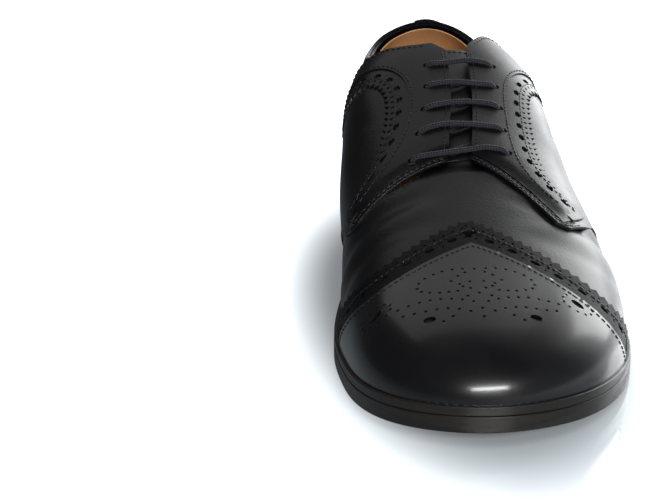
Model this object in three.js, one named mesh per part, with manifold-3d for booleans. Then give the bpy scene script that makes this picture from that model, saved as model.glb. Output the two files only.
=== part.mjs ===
// A man's leather derby shoe with a pointed toe cap, for the left foot, made as one object of many pieces.
// The toe points along -Y, the outer (lateral) side is +X, the ground is z = 0 and one unit is a millimetre.
import * as THREE from "three";
import { mergeVertices } from "three/addons/utils/BufferGeometryUtils.js";
import Module from "manifold-3d";

const wasm = await Module();
wasm.setup();

// ---------------------------------------------------------------- driving dimensions
const OUTSOLE_LENGTH = 305;
const BALL_WIDTH = 110.5; // widest part of the outsole
const CROWN_HEIGHT = 104; // highest point of the last above the ground
const TOE_SPRING = 7; // how far the outsole's toe stands off the ground
const HEEL_HEIGHT = 22; // heel stack at the back
const OUTSOLE_THICKNESS = 5.7;
const WELT_THICKNESS = 3;
const WELT_EDGE_FRONT = 5.5; // how far the welt stands out past the upper, forepart
const WELT_EDGE_BACK = 3;
const WELT_UNDERLAP = 5;
const INSOLE_THICKNESS = 2.5;
const SOCK_THICKNESS = 0.9;
const LINING_THICKNESS = 0.9;
const LEATHER_THICKNESS = 1.1;
const CAP_THICKNESS = 1.2;
const STIFFENER_THICKNESS = 1;
const GAP = 0.3; // clearance between pieces that touch
const FIT_GAP = 0.5; // clearance round a moving or threaded piece
const LACE_DIAMETER = 2.5;
const QUARTER_LIFT = LACE_DIAMETER + 0.1; // quarters stand off the last by this over the vamp and the lace
const TONGUE_DROP = LACE_DIAMETER + 1.6; // the tongue lies below the last by this, so the lace has room
const EYELET_ROWS = 5;
const EYELET_FIRST = 131; // station of the lowest row
const EYELET_PITCH = 15;
const EYELET_BORE = LACE_DIAMETER + 1; // the lace passes with this much play
const EYELET_WALL = 0.6;
const EYELET_FLANGE = 0.5; // flange thickness
const EYELET_SEAT = 0.25 + EYELET_BORE / 10; // clearance under the lining, which curves over a wide flange
const EYELET_FLANGE_WIDTH = 1.3; // how far the flange stands out past the barrel
const FACING_HOLE = LACE_DIAMETER + 1.9;
const AGLET_DIAMETER = LACE_DIAMETER + 0.3;
const AGLET_LENGTH = 20;
const TOP_PIECE_THICKNESS = 5.5;
const LIFT_THICKNESS = 4;
const HEEL_TAPER = 0.4; // each heel layer is this much smaller all round than the one above
const NAIL_DIAMETER = 2.2;
const NAIL_LENGTH = 12;
const NAIL_SETBACK = 13; // nails stand this far in from the heel's edge
const SHANK_WIDTH = 15;
const SHANK_THICKNESS = 1.5;
const CELL = 13; // facet size of lasted pieces
const PLAN_CELL = 17; // facet length of the bottom's layers

// ---------------------------------------------------------------- materials
const finish = (color, roughness, metalness = 0) =>
  new THREE.MeshStandardMaterial({ color, roughness, metalness });
const blackCalf = finish(0x15151a, 0.28);
const tanLining = finish(0xc98a4e, 0.6);
const edgeLeather = finish(0x1d1814, 0.4);
const insoleLeather = finish(0xb78f62, 0.75);
const stackLeather = finish(0x241c17, 0.45);
const topPieceRubber = finish(0x17171a, 0.8);
const cork = finish(0x8a6a44, 0.95);
const steel = finish(0x8c9098, 0.4, 1);
const brass = finish(0xb08d45, 0.35, 1);
const stiffenerFibre = finish(0xcabfa8, 0.85);
const waxedCotton = finish(0x14151c, 0.6);
const blackMetal = finish(0x1a1a1c, 0.4, 0.8);
const aglet = finish(0x101014, 0.3);

const shoe = new THREE.Group();
function addPiece(name, geometry, material) {
  const mesh = new THREE.Mesh(geometry, material);
  mesh.name = name;
  shoe.add(mesh);
}

// ---------------------------------------------------------------- curves
const BASE_LENGTH = 305;
const BASE_WIDTH = 110.5;
const BASE_CROWN = 104;
const gradeY = OUTSOLE_LENGTH / BASE_LENGTH;
const gradeX = BALL_WIDTH / BASE_WIDTH;
const graded = ([x, y]) => [x * gradeX, y * gradeY];
const clamp = THREE.MathUtils.clamp;
const ramp = (at, from, to) => THREE.MathUtils.smoothstep(at, from * gradeY, to * gradeY);
const rampX = (at, from, to) => THREE.MathUtils.smoothstep(at, from * gradeX, to * gradeX);

// Natural cubic spline through [station, value] pairs, level beyond its ends.
function throughStations(pairs) {
  const last = pairs.length - 1;
  const bend = new Array(last + 1).fill(0);
  const upper = [0];
  const right = [0];
  for (let i = 1; i < last; i++) {
    const before = pairs[i][0] - pairs[i - 1][0];
    const after = pairs[i + 1][0] - pairs[i][0];
    const turn =
      (pairs[i + 1][1] - pairs[i][1]) / after - (pairs[i][1] - pairs[i - 1][1]) / before;
    const pivot = 2 * (before + after) - before * upper[i - 1];
    upper[i] = after / pivot;
    right[i] = (6 * turn - before * right[i - 1]) / pivot;
  }
  for (let i = last - 1; i > 0; i--) bend[i] = right[i] - upper[i] * bend[i + 1];
  return (station) => {
    const at = clamp(station, pairs[0][0], pairs[last][0]);
    let i = 0;
    while (i < last - 1 && pairs[i + 1][0] < at) i++;
    const span = pairs[i + 1][0] - pairs[i][0];
    const t = at - pairs[i][0];
    const s = pairs[i + 1][0] - at;
    return (
      (bend[i] * s ** 3 + bend[i + 1] * t ** 3) / (6 * span) +
      (pairs[i][1] / span - (bend[i] * span) / 6) * s +
      (pairs[i + 1][1] / span - (bend[i + 1] * span) / 6) * t
    );
  };
}

// Smooth closed curve through points, as a function of 0..1.
function closedThrough(points) {
  const wrapped = [...points.slice(-3), ...points, ...points.slice(0, 4)];
  const length = [0];
  for (let i = 1; i < wrapped.length; i++) {
    const step = Math.hypot(
      wrapped[i][0] - wrapped[i - 1][0],
      wrapped[i][1] - wrapped[i - 1][1],
    );
    length.push(length[i - 1] + step);
  }
  const along = (axis) => throughStations(wrapped.map((p, i) => [length[i], p[axis]]));
  const x = along(0);
  const y = along(1);
  const start = length[3];
  const end = length[3 + points.length];
  return (t) => {
    const at = start + (t - Math.floor(t)) * (end - start);
    return [x(at), y(at)];
  };
}

// Straight-line lookup in a table of [key, value] rows sorted by key.
function lookUp(rows, key) {
  let low = 0;
  let high = rows.length - 1;
  const at = clamp(key, rows[0][0], rows[high][0]);
  while (high - low > 1) {
    const middle = (low + high) >> 1;
    if (rows[middle][0] <= at) low = middle;
    else high = middle;
  }
  const span = rows[high][0] - rows[low][0] || 1;
  const share = (at - rows[low][0]) / span;
  return rows[low][1] * (1 - share) + rows[high][1] * share;
}

// ---------------------------------------------------------------- the last
// Feather line: the plan outline of the last's bottom, from the heel's centre round the lateral side.
const feather = closedThrough(
  [
    [0, 302], [21, 295], [31, 272], [32.5, 240], [35, 205], [41, 165], [50, 125], [53, 100], [49, 68],
    [37, 38], [20.5, 18], [3, 8], [-4, 6.5], [-14, 7.5], [-30, 17.5], [-40, 35], [-44.5, 60], [-46, 85],
    [-44.5, 110], [-39.5, 140], [-34, 170], [-31, 205], [-31, 240], [-30, 272], [-20.5, 295],
  ].map(graded),
);
// How far the outsole's underside stands off the ground, by station.
const groundClearance = throughStations(
  [
    [0, TOE_SPRING], [15, TOE_SPRING * 0.71], [35, TOE_SPRING * 0.43], [60, TOE_SPRING * 0.17], [95, 0],
    [130, HEEL_HEIGHT * 0.09], [170, HEEL_HEIGHT * 0.386], [205, HEEL_HEIGHT * 0.705],
    [235, HEEL_HEIGHT * 0.909], [305, HEEL_HEIGHT],
  ].map(([y, z]) => [y * gradeY, z]),
);
const SOLE_STACK = OUTSOLE_THICKNESS + GAP + WELT_THICKNESS;
const featherHeight = (y) => groundClearance(y) + SOLE_STACK;
// Crest of the last above the ground, and the plan line that it follows.
const crestHeight = throughStations(
  [
    [-20, 30], [5, 33.5], [30, 37.5], [60, 43], [90, 51.5], [120, 61.5], [150, 72.5], [180, 84],
    [205, 93.5], [235, 101], [270, 103.5], [310, 104],
  ].map(([y, z]) => [y * gradeY, (z * CROWN_HEIGHT) / BASE_CROWN]),
);
const crestLine = throughStations(
  [
    [0, -4], [60, -3], [95, -1], [130, 2], [170, 5], [210, 5], [262, 2], [305, 0],
  ].map(([y, x]) => [y * gradeY, x * gradeX]),
);
// Section shape by station: how upright the wall is, how full the shoulder is, how far the wall bulges.
const STATIONS = [0, 20, 60, 100, 150, 200, 250, 305].map((y) => y * gradeY);
const shape = (values) => throughStations(values.map((value, i) => [STATIONS[i], value]));
const sections = {
  lateral: {
    wall: shape([0.62, 0.62, 0.58, 0.6, 0.7, 0.8, 0.8, 0.75]),
    shoulder: shape([0.75, 0.7, 0.62, 0.58, 0.62, 0.9, 0.2, 0.6]),
    bulge: shape([0.02, 0.03, 0.08, 0.14, 0.26, 0.48, 0.22, 0.12]),
  },
  medial: {
    wall: shape([0.62, 0.62, 0.6, 0.6, 0.7, 0.8, 0.8, 0.75]),
    shoulder: shape([0.75, 0.7, 0.62, 0.58, 0.66, 0.95, 0.35, 0.6]),
    bulge: shape([0.02, 0.03, 0.05, 0.12, 0.42, 0.66, 0.28, 0.12]),
  },
};
const TOE_FAN = 95 * gradeY; // ribs fan out from the crest in front of this station
const HEEL_FAN = 262 * gradeY; // and behind this one
const FEATHER_SAMPLES = 2400;
const featherPoints = Array.from({ length: FEATHER_SAMPLES }, (_, i) => feather(i / FEATHER_SAMPLES));
const byKey = (a, b) => a[0] - b[0];
const fanRadii = (station, sign) =>
  featherPoints
    .map(([x, y]) => {
      const dx = x - crestLine(station);
      const dy = sign * (y - station);
      return [Math.atan2(dx, dy), Math.hypot(dx, dy)];
    })
    .sort(byKey);
const toeRadii = fanRadii(TOE_FAN, -1);
const heelRadii = fanRadii(HEEL_FAN, 1);
const sideEdge = {};
for (const [side, sign] of [["lateral", 1], ["medial", -1]])
  sideEdge[side] = featherPoints
    .filter(([x, y]) => sign * (x - crestLine(y)) > 0 && y > TOE_FAN - CELL && y < HEEL_FAN + CELL)
    .map(([x, y]) => [y, x])
    .sort(byKey);

// A rib runs over the last from the crest to the feather line. Pattern point (x, y): y is the station
// along the crest and x the length along the rib, and in a fan they are the same length turned round
// the fan's centre.
const RIB_STEPS = 32;
function ribOf(x, y) {
  const station = clamp(y, TOE_FAN, HEEL_FAN);
  const length = Math.hypot(x, y - station);
  const fan = station !== y;
  const ex = fan ? x / length : x < 0 ? -1 : 1;
  const ey = fan ? (y - station) / length : 0;
  const crestX = crestLine(station);
  let reach;
  if (y < TOE_FAN) reach = lookUp(toeRadii, Math.atan2(ex, -ey));
  else if (y > HEEL_FAN) reach = lookUp(heelRadii, Math.atan2(ex, ey));
  else reach = Math.abs(lookUp(sideEdge[x < 0 ? "medial" : "lateral"], y) - crestX);
  const foot = [crestX + ex * reach, station + ey * reach];
  const share = THREE.MathUtils.smoothstep(ex, -1, 1);
  const mix = (key) =>
    sections.lateral[key](foot[1]) * share + sections.medial[key](foot[1]) * (1 - share);
  const wall = mix("wall");
  const shoulder = mix("shoulder");
  const bulge = mix("bulge");
  const bottom = featherHeight(foot[1]);
  const points = [];
  for (let i = 0; i <= RIB_STEPS; i++) {
    const u = 1 - i / RIB_STEPS;
    const low = 3 * (1 - u) ** 2 * u;
    const high = 3 * (1 - u) * u ** 2;
    const inward = -low * bulge + high * (1 - shoulder) + u ** 3;
    const upward = low * wall + high + u ** 3;
    const px = foot[0] + (crestX - foot[0]) * inward;
    const py = foot[1] + (station - foot[1]) * inward;
    points.push(new THREE.Vector3(px, py, bottom + (crestHeight(py) - bottom) * upward));
  }
  return { points, length };
}
function lastPoint(x, y) {
  const { points, length } = ribOf(x, y);
  let left = length;
  for (let i = 1; i <= RIB_STEPS; i++) {
    const step = points[i].distanceTo(points[i - 1]);
    if (left <= step || i === RIB_STEPS)
      return points[i - 1].clone().lerp(points[i], left / step);
    left -= step;
  }
}
function girth(x, y) {
  const { points } = ribOf(x, y);
  let total = 0;
  for (let i = 1; i <= RIB_STEPS; i++) total += points[i].distanceTo(points[i - 1]);
  return total;
}
const NUDGE = 0.6;
function lastNormal(x, y) {
  const across = lastPoint(x + NUDGE, y).sub(lastPoint(x - NUDGE, y));
  const along = lastPoint(x, y + NUDGE).sub(lastPoint(x, y - NUDGE));
  return across.cross(along).normalize();
}

// Facets of the last: points and normals at the corners of square pattern cells, made when needed.
const corners = new Map();
function corner(i, j) {
  const key = i + "," + j;
  if (!corners.has(key)) {
    const x = i * CELL + 1e-4;
    const y = j * CELL + 1e-4;
    corners.set(key, { x, y, point: lastPoint(x, y), normal: lastNormal(x, y) });
  }
  return corners.get(key);
}
// Where pattern point (x, y) lies at a height above the faceted last; lift adds height by place.
function onLast(x, y, height, lift = () => 0) {
  const i = Math.floor(x / CELL);
  const j = Math.floor(y / CELL);
  const a = x / CELL - i;
  const b = y / CELL - j;
  const weights =
    a + b < 1
      ? [[i, j, 1 - a - b], [i + 1, j, a], [i, j + 1, b]]
      : [[i + 1, j + 1, a + b - 1], [i, j + 1, 1 - a], [i + 1, j, 1 - b]];
  const result = new THREE.Vector3();
  for (const [ci, cj, weight] of weights) {
    const c = corner(ci, cj);
    result.addScaledVector(c.point, weight);
    result.addScaledVector(c.normal, weight * (height + lift(c.x, c.y)));
  }
  return result;
}

// ---------------------------------------------------------------- solids
function toSolid(geometry) {
  const bare = geometry.index ? geometry.toNonIndexed() : geometry.clone();
  bare.deleteAttribute("normal");
  bare.deleteAttribute("uv");
  const merged = mergeVertices(bare, 1e-4);
  return new wasm.Manifold(
    new wasm.Mesh({
      numProp: 3,
      vertProperties: merged.attributes.position.array,
      triVerts: new Uint32Array(merged.index.array),
    }),
  );
}
function toGeometry(solid) {
  const mesh = solid.getMesh();
  const geometry = new THREE.BufferGeometry();
  const stride = mesh.numProp;
  const positions = new Float32Array((mesh.vertProperties.length / stride) * 3);
  for (let i = 0; i < positions.length / 3; i++)
    for (let k = 0; k < 3; k++) positions[3 * i + k] = mesh.vertProperties[stride * i + k];
  geometry.setAttribute("position", new THREE.BufferAttribute(positions, 3));
  geometry.setIndex(new THREE.BufferAttribute(new Uint32Array(mesh.triVerts), 1));
  geometry.computeVertexNormals();
  return geometry;
}
const PRISM_HALF = 400;
const prism = (outline) =>
  toSolid(
    new THREE.ExtrudeGeometry(new THREE.Shape(outline.map(([x, y]) => new THREE.Vector2(x, y))), {
      depth: 2 * PRISM_HALF,
      bevelEnabled: false,
    }).translate(0, 0, -PRISM_HALF),
  );
// A box's upper face is split along the other diagonal than its lower face. This makes them alike.
function turnDiagonals(box) {
  const upper = box.groups[4];
  const index = box.index.array;
  for (let q = upper.start; q < upper.start + upper.count; q += 6) {
    const [a, b, d, , c] = index.slice(q, q + 5);
    index.set([a, b, c, a, c, d], q);
  }
}
// A flat sheet of cells is cut to an outline, then each of its points is carried to its place. The sheet
// is bowed and twisted while it is cut, so that its facets stay apart.
const BOW = 1e-3;
function cutSheet(outline, low, high, cell, place, holes = []) {
  const bow = (x, y) => BOW * (y * y + (cell.bowX ? x * x + x * y : 0));
  const lowX = Math.floor(Math.min(...outline.map((p) => p[0])) / cell.x) - 1;
  const highX = Math.ceil(Math.max(...outline.map((p) => p[0])) / cell.x) + 1;
  const lowY = Math.floor(Math.min(...outline.map((p) => p[1])) / cell.y) - 1;
  const highY = Math.ceil(Math.max(...outline.map((p) => p[1])) / cell.y) + 1;
  const columns = highX - lowX;
  const rows = highY - lowY;
  const sheet = new THREE.BoxGeometry(
    columns * cell.x, rows * cell.y, high - low, columns, rows, 1,
  ).translate(((lowX + highX) * cell.x) / 2, ((lowY + highY) * cell.y) / 2, (low + high) / 2);
  turnDiagonals(sheet);
  const spots = sheet.attributes.position;
  for (let i = 0; i < spots.count; i++)
    spots.setZ(i, spots.getZ(i) + bow(spots.getX(i), spots.getY(i)));
  let solid = toSolid(sheet).intersect(prism(outline));
  for (const hole of holes) solid = solid.subtract(prism(hole));
  const geometry = toGeometry(solid);
  const cut = geometry.attributes.position;
  for (let i = 0; i < cut.count; i++) {
    const x = cut.getX(i);
    const y = cut.getY(i);
    const p = place(x, y, cut.getZ(i) - bow(x, y));
    cut.setXYZ(i, p.x, p.y, p.z);
  }
  return geometry;
}
const lastCell = { x: CELL, y: CELL, bowX: true };
const planCell = { x: BALL_WIDTH, y: PLAN_CELL, bowX: false };
const lasted = (outline, low, high, lift, holes) =>
  cutSheet(outline, low, high, lastCell, (x, y, z) => onLast(x, y, z, lift), holes);

// Everything below a profile along the shoe, as a solid.
function belowProfile(heightAt) {
  const far = BALL_WIDTH;
  const outline = new THREE.Shape();
  outline.moveTo(-2 * CELL, -far);
  for (let y = -2 * CELL; y <= OUTSOLE_LENGTH + 2 * CELL; y += CELL) outline.lineTo(y, heightAt(y));
  outline.lineTo(OUTSOLE_LENGTH + 2 * CELL, -far);
  const slab = new THREE.ExtrudeGeometry(outline, { depth: 2 * far, bevelEnabled: false });
  slab.translate(0, 0, -far);
  // The extrusion's x, y, z become the shoe's y, z, x.
  slab.applyMatrix4(new THREE.Matrix4().set(0, 0, 1, 0, 1, 0, 0, 0, 0, 1, 0, 0, 0, 0, 0, 1));
  return toSolid(slab);
}
// What is drawn down over the last is trimmed just above the welt.
const belowFeather = belowProfile((y) => featherHeight(y) + GAP);
const trimmed = (geometry) => toGeometry(toSolid(geometry).subtract(belowFeather));

// ---------------------------------------------------------------- plan outlines of the bottom
const weltEdge = (y) => THREE.MathUtils.lerp(WELT_EDGE_FRONT, WELT_EDGE_BACK, ramp(y, 120, 185));
const OUTLINE_STEPS = 42;
// The feather line moved outwards by a distance that may change with the station.
function offsetFeather(distance, from = 0, to = 1, steps = OUTLINE_STEPS) {
  const closed = to - from >= 1;
  const points = [];
  for (let i = 0; i < (closed ? steps : steps + 1); i++) {
    const t = from + ((to - from) * i) / steps;
    const [x, y] = feather(t);
    const [ax, ay] = feather(t - 1e-3);
    const [bx, by] = feather(t + 1e-3);
    const size = Math.hypot(bx - ax, by - ay);
    const d = distance(y);
    points.push([x + (d * (ay - by)) / size, y + (d * (bx - ax)) / size]);
  }
  return points;
}
// Share of the way round the feather line where it passes a station on one side.
function featherShare(station, lateral) {
  const shares = featherPoints
    .map(([x, y], i) => [Math.abs(y - station), i / FEATHER_SAMPLES, x])
    .filter(([, , x]) => x > 0 === lateral)
    .sort(byKey);
  return shares[0][1];
}
const outwards = offsetFeather(() => 1)[0][1] > feather(0)[1] ? 1 : -1;
const planOutline = (distance) => offsetFeather((y) => outwards * distance(y));
// A layer of the bottom: a plan outline between two heights over the outsole's underside.
const bottomLayer = (outline, low, high, holes) =>
  cutSheet(outline, low, high, planCell, (x, y, z) =>
    new THREE.Vector3(x, y, z + groundClearance(y)), holes);

// ---------------------------------------------------------------- outsole, welt and heel rand
const HEEL_BREAST = 214 * gradeY;
const WELT_END = HEEL_BREAST + 2;
addPiece("outsole", bottomLayer(planOutline(weltEdge), 0, OUTSOLE_THICKNESS), edgeLeather);

const weltLow = OUTSOLE_THICKNESS + GAP;
const weltHigh = weltLow + WELT_THICKNESS;
function bottomStrip(from, to, steps) {
  const outer = offsetFeather((y) => outwards * weltEdge(y), from, to, steps);
  const inner = offsetFeather(() => -outwards * WELT_UNDERLAP, from, to, steps);
  return bottomLayer([...outer, ...inner.reverse()], weltLow, weltHigh);
}
const lateralBreast = featherShare(WELT_END, true);
const medialBreast = featherShare(WELT_END, false);
const breastGap = (GAP * 2) / (2 * OUTSOLE_LENGTH);
addPiece("welt", bottomStrip(lateralBreast + breastGap, medialBreast - breastGap, 34), edgeLeather);
addPiece("heel_rand", bottomStrip(medialBreast, lateralBreast + 1, 20), edgeLeather);

// ---------------------------------------------------------------- heel stack and its nails
const BREAST_BOW = 4; // the breast is hollow by this in plan
// Everything behind the breast, in plan.
function breastLine(points) {
  const half = BALL_WIDTH / 2;
  const curve = new THREE.QuadraticBezierCurve(
    new THREE.Vector2(half, HEEL_BREAST),
    new THREE.Vector2(0, HEEL_BREAST + 2 * BREAST_BOW),
    new THREE.Vector2(-half, HEEL_BREAST),
  );
  const back = OUTSOLE_LENGTH + half;
  return [[-half, back], [half, back], ...curve.getPoints(points).map((p) => [p.x, p.y])].reverse();
}
const nailSpots = [-64, -32, 0, 32, 64].map((degrees) => {
  const turn = THREE.MathUtils.degToRad(degrees);
  const edge = lookUp(heelRadii, turn) - NAIL_SETBACK;
  return [crestLine(HEEL_FAN) + edge * Math.sin(turn), HEEL_FAN + edge * Math.cos(turn)];
});
const ring = (x, y, radius, sides) =>
  Array.from({ length: sides }, (_, i) => {
    const turn = (2 * Math.PI * i) / sides;
    return [x + radius * Math.cos(turn), y + radius * Math.sin(turn)];
  });
const NAIL_SIDES = 10;
const nailHoles = nailSpots.map(([x, y]) => ring(x, y, NAIL_DIAMETER / 2 + GAP, NAIL_SIDES));
const underOutsole = belowProfile((y) => groundClearance(y) - GAP);
// A layer of the heel between two heights, tapered by its level under the outsole.
function heelLayer(level, low, high, holes = []) {
  const outline = planOutline((y) => weltEdge(y) - HEEL_TAPER * (1 + level));
  const span = 2 * OUTSOLE_LENGTH;
  const slab = new THREE.BoxGeometry(span, span, high - low).translate(0, 0, (low + high) / 2);
  let solid = toSolid(slab).intersect(prism(outline)).intersect(prism(breastLine(10)));
  solid = solid.intersect(underOutsole);
  for (const hole of holes) solid = solid.subtract(prism(hole));
  return toGeometry(solid);
}
const lift3 = TOP_PIECE_THICKNESS + GAP;
const lift2 = lift3 + LIFT_THICKNESS + GAP;
const lift1 = lift2 + LIFT_THICKNESS + GAP;
const NAIL_FOOT = 0.4;
addPiece("heel_top_piece", heelLayer(3, 0, TOP_PIECE_THICKNESS, nailHoles), topPieceRubber);
addPiece("heel_lift_3", heelLayer(2, lift3, lift3 + LIFT_THICKNESS, nailHoles), stackLeather);
addPiece("heel_lift_2", heelLayer(1, lift2, lift2 + LIFT_THICKNESS, nailHoles), stackLeather);
addPiece("heel_lift_1", heelLayer(0, lift1, HEEL_HEIGHT), stackLeather);
nailSpots.forEach(([x, y], i) => {
  const nail = new THREE.CylinderGeometry(NAIL_DIAMETER / 2, NAIL_DIAMETER / 2, NAIL_LENGTH, NAIL_SIDES);
  nail.rotateX(Math.PI / 2).translate(x, y, NAIL_FOOT + NAIL_LENGTH / 2);
  addPiece("heel_nail_" + (i + 1), nail, brass);
});

// ---------------------------------------------------------------- insole, filler, shank and sock
const corkLow = OUTSOLE_THICKNESS + GAP;
const insoleLow = weltHigh + GAP;
const sockLow = insoleLow + INSOLE_THICKNESS + GAP;
const INSOLE_INSET = 1.2;
const TOE_INSET = 5; // the insole's toe stands further in, clear of the lining's flat facets
const insoleOutline = planOutline((y) => -THREE.MathUtils.lerp(TOE_INSET, INSOLE_INSET, ramp(y, 20, 60)));
addPiece("insole", bottomLayer(insoleOutline, insoleLow, insoleLow + INSOLE_THICKNESS), insoleLeather);
addPiece("sock_liner", bottomLayer(insoleOutline, sockLow, sockLow + SOCK_THICKNESS), tanLining);
const corkEnd = 158 * gradeY;
const corkRing = planOutline(() => -WELT_UNDERLAP - FIT_GAP).filter(([, y]) => y < corkEnd);
addPiece("cork_filler", bottomLayer(corkRing, corkLow, weltHigh), cork);
const shankFrom = corkEnd + 4;
const shankTo = 262 * gradeY;
const shankX = crestLine((shankFrom + shankTo) / 2) - 2;
const shankOutline = new THREE.Path()
  .moveTo(shankX + SHANK_WIDTH / 2, shankFrom)
  .lineTo(shankX + SHANK_WIDTH / 2, shankTo)
  .absarc(shankX, shankTo, SHANK_WIDTH / 2, 0, Math.PI)
  .lineTo(shankX - SHANK_WIDTH / 2, shankFrom)
  .getPoints(8)
  .map((p) => [p.x, p.y]);
addPiece("shank", bottomLayer(shankOutline, corkLow, corkLow + SHANK_THICKNESS), steel);

// ---------------------------------------------------------------- pattern lines
const OVERRUN = 3; // pieces are drawn this far past the feather line, then trimmed
const smooth = (points, steps) =>
  new THREE.SplineCurve(points.map(graded).map(([x, y]) => new THREE.Vector2(x, y)))
    .getPoints(steps)
    .map((p) => [p.x, p.y]);
const fanPoint = (station, sign, degrees) => {
  const turn = THREE.MathUtils.degToRad(degrees);
  return [Math.sin(turn), station + sign * Math.cos(turn)];
};
// The point just past the feather line on the rib through a pattern point.
function pastFeather([x, y]) {
  const station = clamp(y, TOE_FAN, HEEL_FAN);
  const size = Math.hypot(x, y - station);
  const reach = girth(x, y) + OVERRUN;
  return [(x / size) * reach, station + ((y - station) / size) * reach];
}
// The points of a line that leaves over the feather line, up to where it does.
const overLast = (points) =>
  points.filter(([x, y]) => {
    const station = clamp(y, TOE_FAN, HEEL_FAN);
    return Math.hypot(x, y - station) < girth(x, y) + OVERRUN - 1;
  });
// Place along one side's feather line: degrees round the toe (-90 to 0), then stations, then degrees
// round the heel (0 to 90 more).
const SIDE_RUN = HEEL_FAN - TOE_FAN;
const degreesOf = (x, y) => THREE.MathUtils.radToDeg(Math.atan2(Math.abs(x), y));
function placeOf([x, y]) {
  if (y < TOE_FAN) return degreesOf(x, TOE_FAN - y) - 90;
  if (y > HEEL_FAN) return SIDE_RUN + 90 - degreesOf(x, y - HEEL_FAN);
  return y - TOE_FAN;
}
function spotAt(side, place) {
  if (place < 0) return fanPoint(TOE_FAN, -1, side * (90 + place));
  if (place > SIDE_RUN) return fanPoint(HEEL_FAN, 1, side * (90 + SIDE_RUN - place));
  return [side, TOE_FAN + place];
}
const TOE_TIP = -89.9;
const HEEL_BACK = SIDE_RUN + 89;
// Points just past the feather line on one side, between two places.
function alongFeather(side, from, to, step = 14) {
  const steps = Math.max(1, Math.ceil(Math.abs(to - from) / step));
  return Array.from({ length: steps + 1 }, (_, i) =>
    pastFeather(spotAt(side, from + ((to - from) * i) / steps)),
  );
}
// Distance down a rib, in a pattern direction, at which the last falls to a height.
function dropTo(x, y, height) {
  const station = clamp(y, TOE_FAN, HEEL_FAN);
  const size = Math.hypot(x, y - station);
  let near = 0;
  let far = girth(x, y);
  for (let i = 0; i < 24; i++) {
    const middle = (near + far) / 2;
    const p = lastPoint((x / size) * middle, station + ((y - station) / size) * middle);
    if (p.z > height) near = middle;
    else far = middle;
  }
  return [(x / size) * near, station + ((y - station) / size) * near];
}

// ---------------------------------------------------------------- lifts over the last
const overVamp = (x, y) =>
  Math.max(1 - ramp(y, 162, 192), (1 - rampX(Math.abs(x), 34, 56)) * (1 - ramp(y, 226, 250)));
const liningLift = (x, y) => QUARTER_LIFT * overVamp(x, y);
const overStiffener = (y) => (STIFFENER_THICKNESS + GAP) * ramp(y, 230, 248);
const quarterLift = (x, y) => Math.max(liningLift(x, y), overStiffener(y));
const tongueLift = (x, y) => -TONGUE_DROP * ramp(y, 110, 128) * (1 - rampX(Math.abs(x), 33, 48));

// ---------------------------------------------------------------- layer heights over the last
const liningTop = LINING_THICKNESS;
const leatherLow = liningTop + GAP;
const leatherHigh = leatherLow + LEATHER_THICKNESS;
const overlayLow = leatherHigh + GAP;
const overlayHigh = overlayLow + LEATHER_THICKNESS;

// ---------------------------------------------------------------- toe cap, toe puff, vamp
// Rear edge of the toe cap, in two halves that start at its point.
const CAP_EDGE = {
  1: [[-2, 83], [15, 73.5], [31, 61.5], [47, 55], [60, 59], [72, 66]],
  [-1]: [[-2, 83], [-20, 75.5], [-36, 73], [-54, 79], [-66, 86]],
};
const capEdge = (side, shift) =>
  overLast(smooth(CAP_EDGE[side].map(([x, y]) => [x, y - shift]), 11));
// The part of the forepart in front of the cap's edge, moved forwards by a shift.
function inFrontOfCap(shift) {
  const lateral = capEdge(1, shift);
  const medial = capEdge(-1, shift);
  return [
    ...lateral,
    ...alongFeather(1, placeOf(lateral.at(-1)), TOE_TIP),
    ...alongFeather(-1, TOE_TIP + 5, placeOf(medial.at(-1))),
    ...medial.slice(1).reverse(),
  ];
}
const capSkin = lasted(inFrontOfCap(0), overlayLow, overlayLow + CAP_THICKNESS, tongueLift);
addPiece("toe_cap", trimmed(capSkin), blackCalf);
const CAP_UNDERLAP = 12;
const PUFF_SETBACK = CAP_UNDERLAP + 2 / gradeX; // clear of the vamp, whose edge runs steeper on a narrow shoe
const puffSkin = lasted(inFrontOfCap(PUFF_SETBACK), leatherLow, leatherLow + STIFFENER_THICKNESS);
addPiece("toe_puff", trimmed(puffSkin), stiffenerFibre);

// Rear edge of the vamp on each side, from the tongue's root to the feather line.
const VAMP_REAR = {
  1: [[15, 133], [24, 134], [42, 136], [62, 142], [80, 150], [92, 155]],
  [-1]: [[-15, 133], [-26, 137], [-44, 146], [-62, 154], [-82, 160], [-92, 163]],
};
const vampRear = (side) => overLast(smooth(VAMP_REAR[side], 10));
function vampHalf(side, frontPlace) {
  const rear = vampRear(side);
  return [...rear, ...alongFeather(side, placeOf(rear.at(-1)), frontPlace)];
}
const underCap = [1, -1].map((side) => capEdge(side, CAP_UNDERLAP));
const vampOutline = [
  ...vampHalf(1, placeOf(underCap[0].at(-1))),
  ...underCap[0].slice(0, -1).reverse(),
  ...underCap[1].slice(1, -1),
  ...vampHalf(-1, placeOf(underCap[1].at(-1))).reverse(),
];
addPiece("vamp", trimmed(lasted(vampOutline, leatherLow, leatherHigh, tongueLift)), blackCalf);
const vampLiningOutline = [...vampHalf(1, TOE_TIP), ...vampHalf(-1, TOE_TIP + 5).reverse()];
addPiece("vamp_lining", trimmed(lasted(vampLiningOutline, 0, liningTop, tongueLift)), tanLining);
const THROAT = 133 * gradeY; // where the tongue is sewn to the vamp

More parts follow.
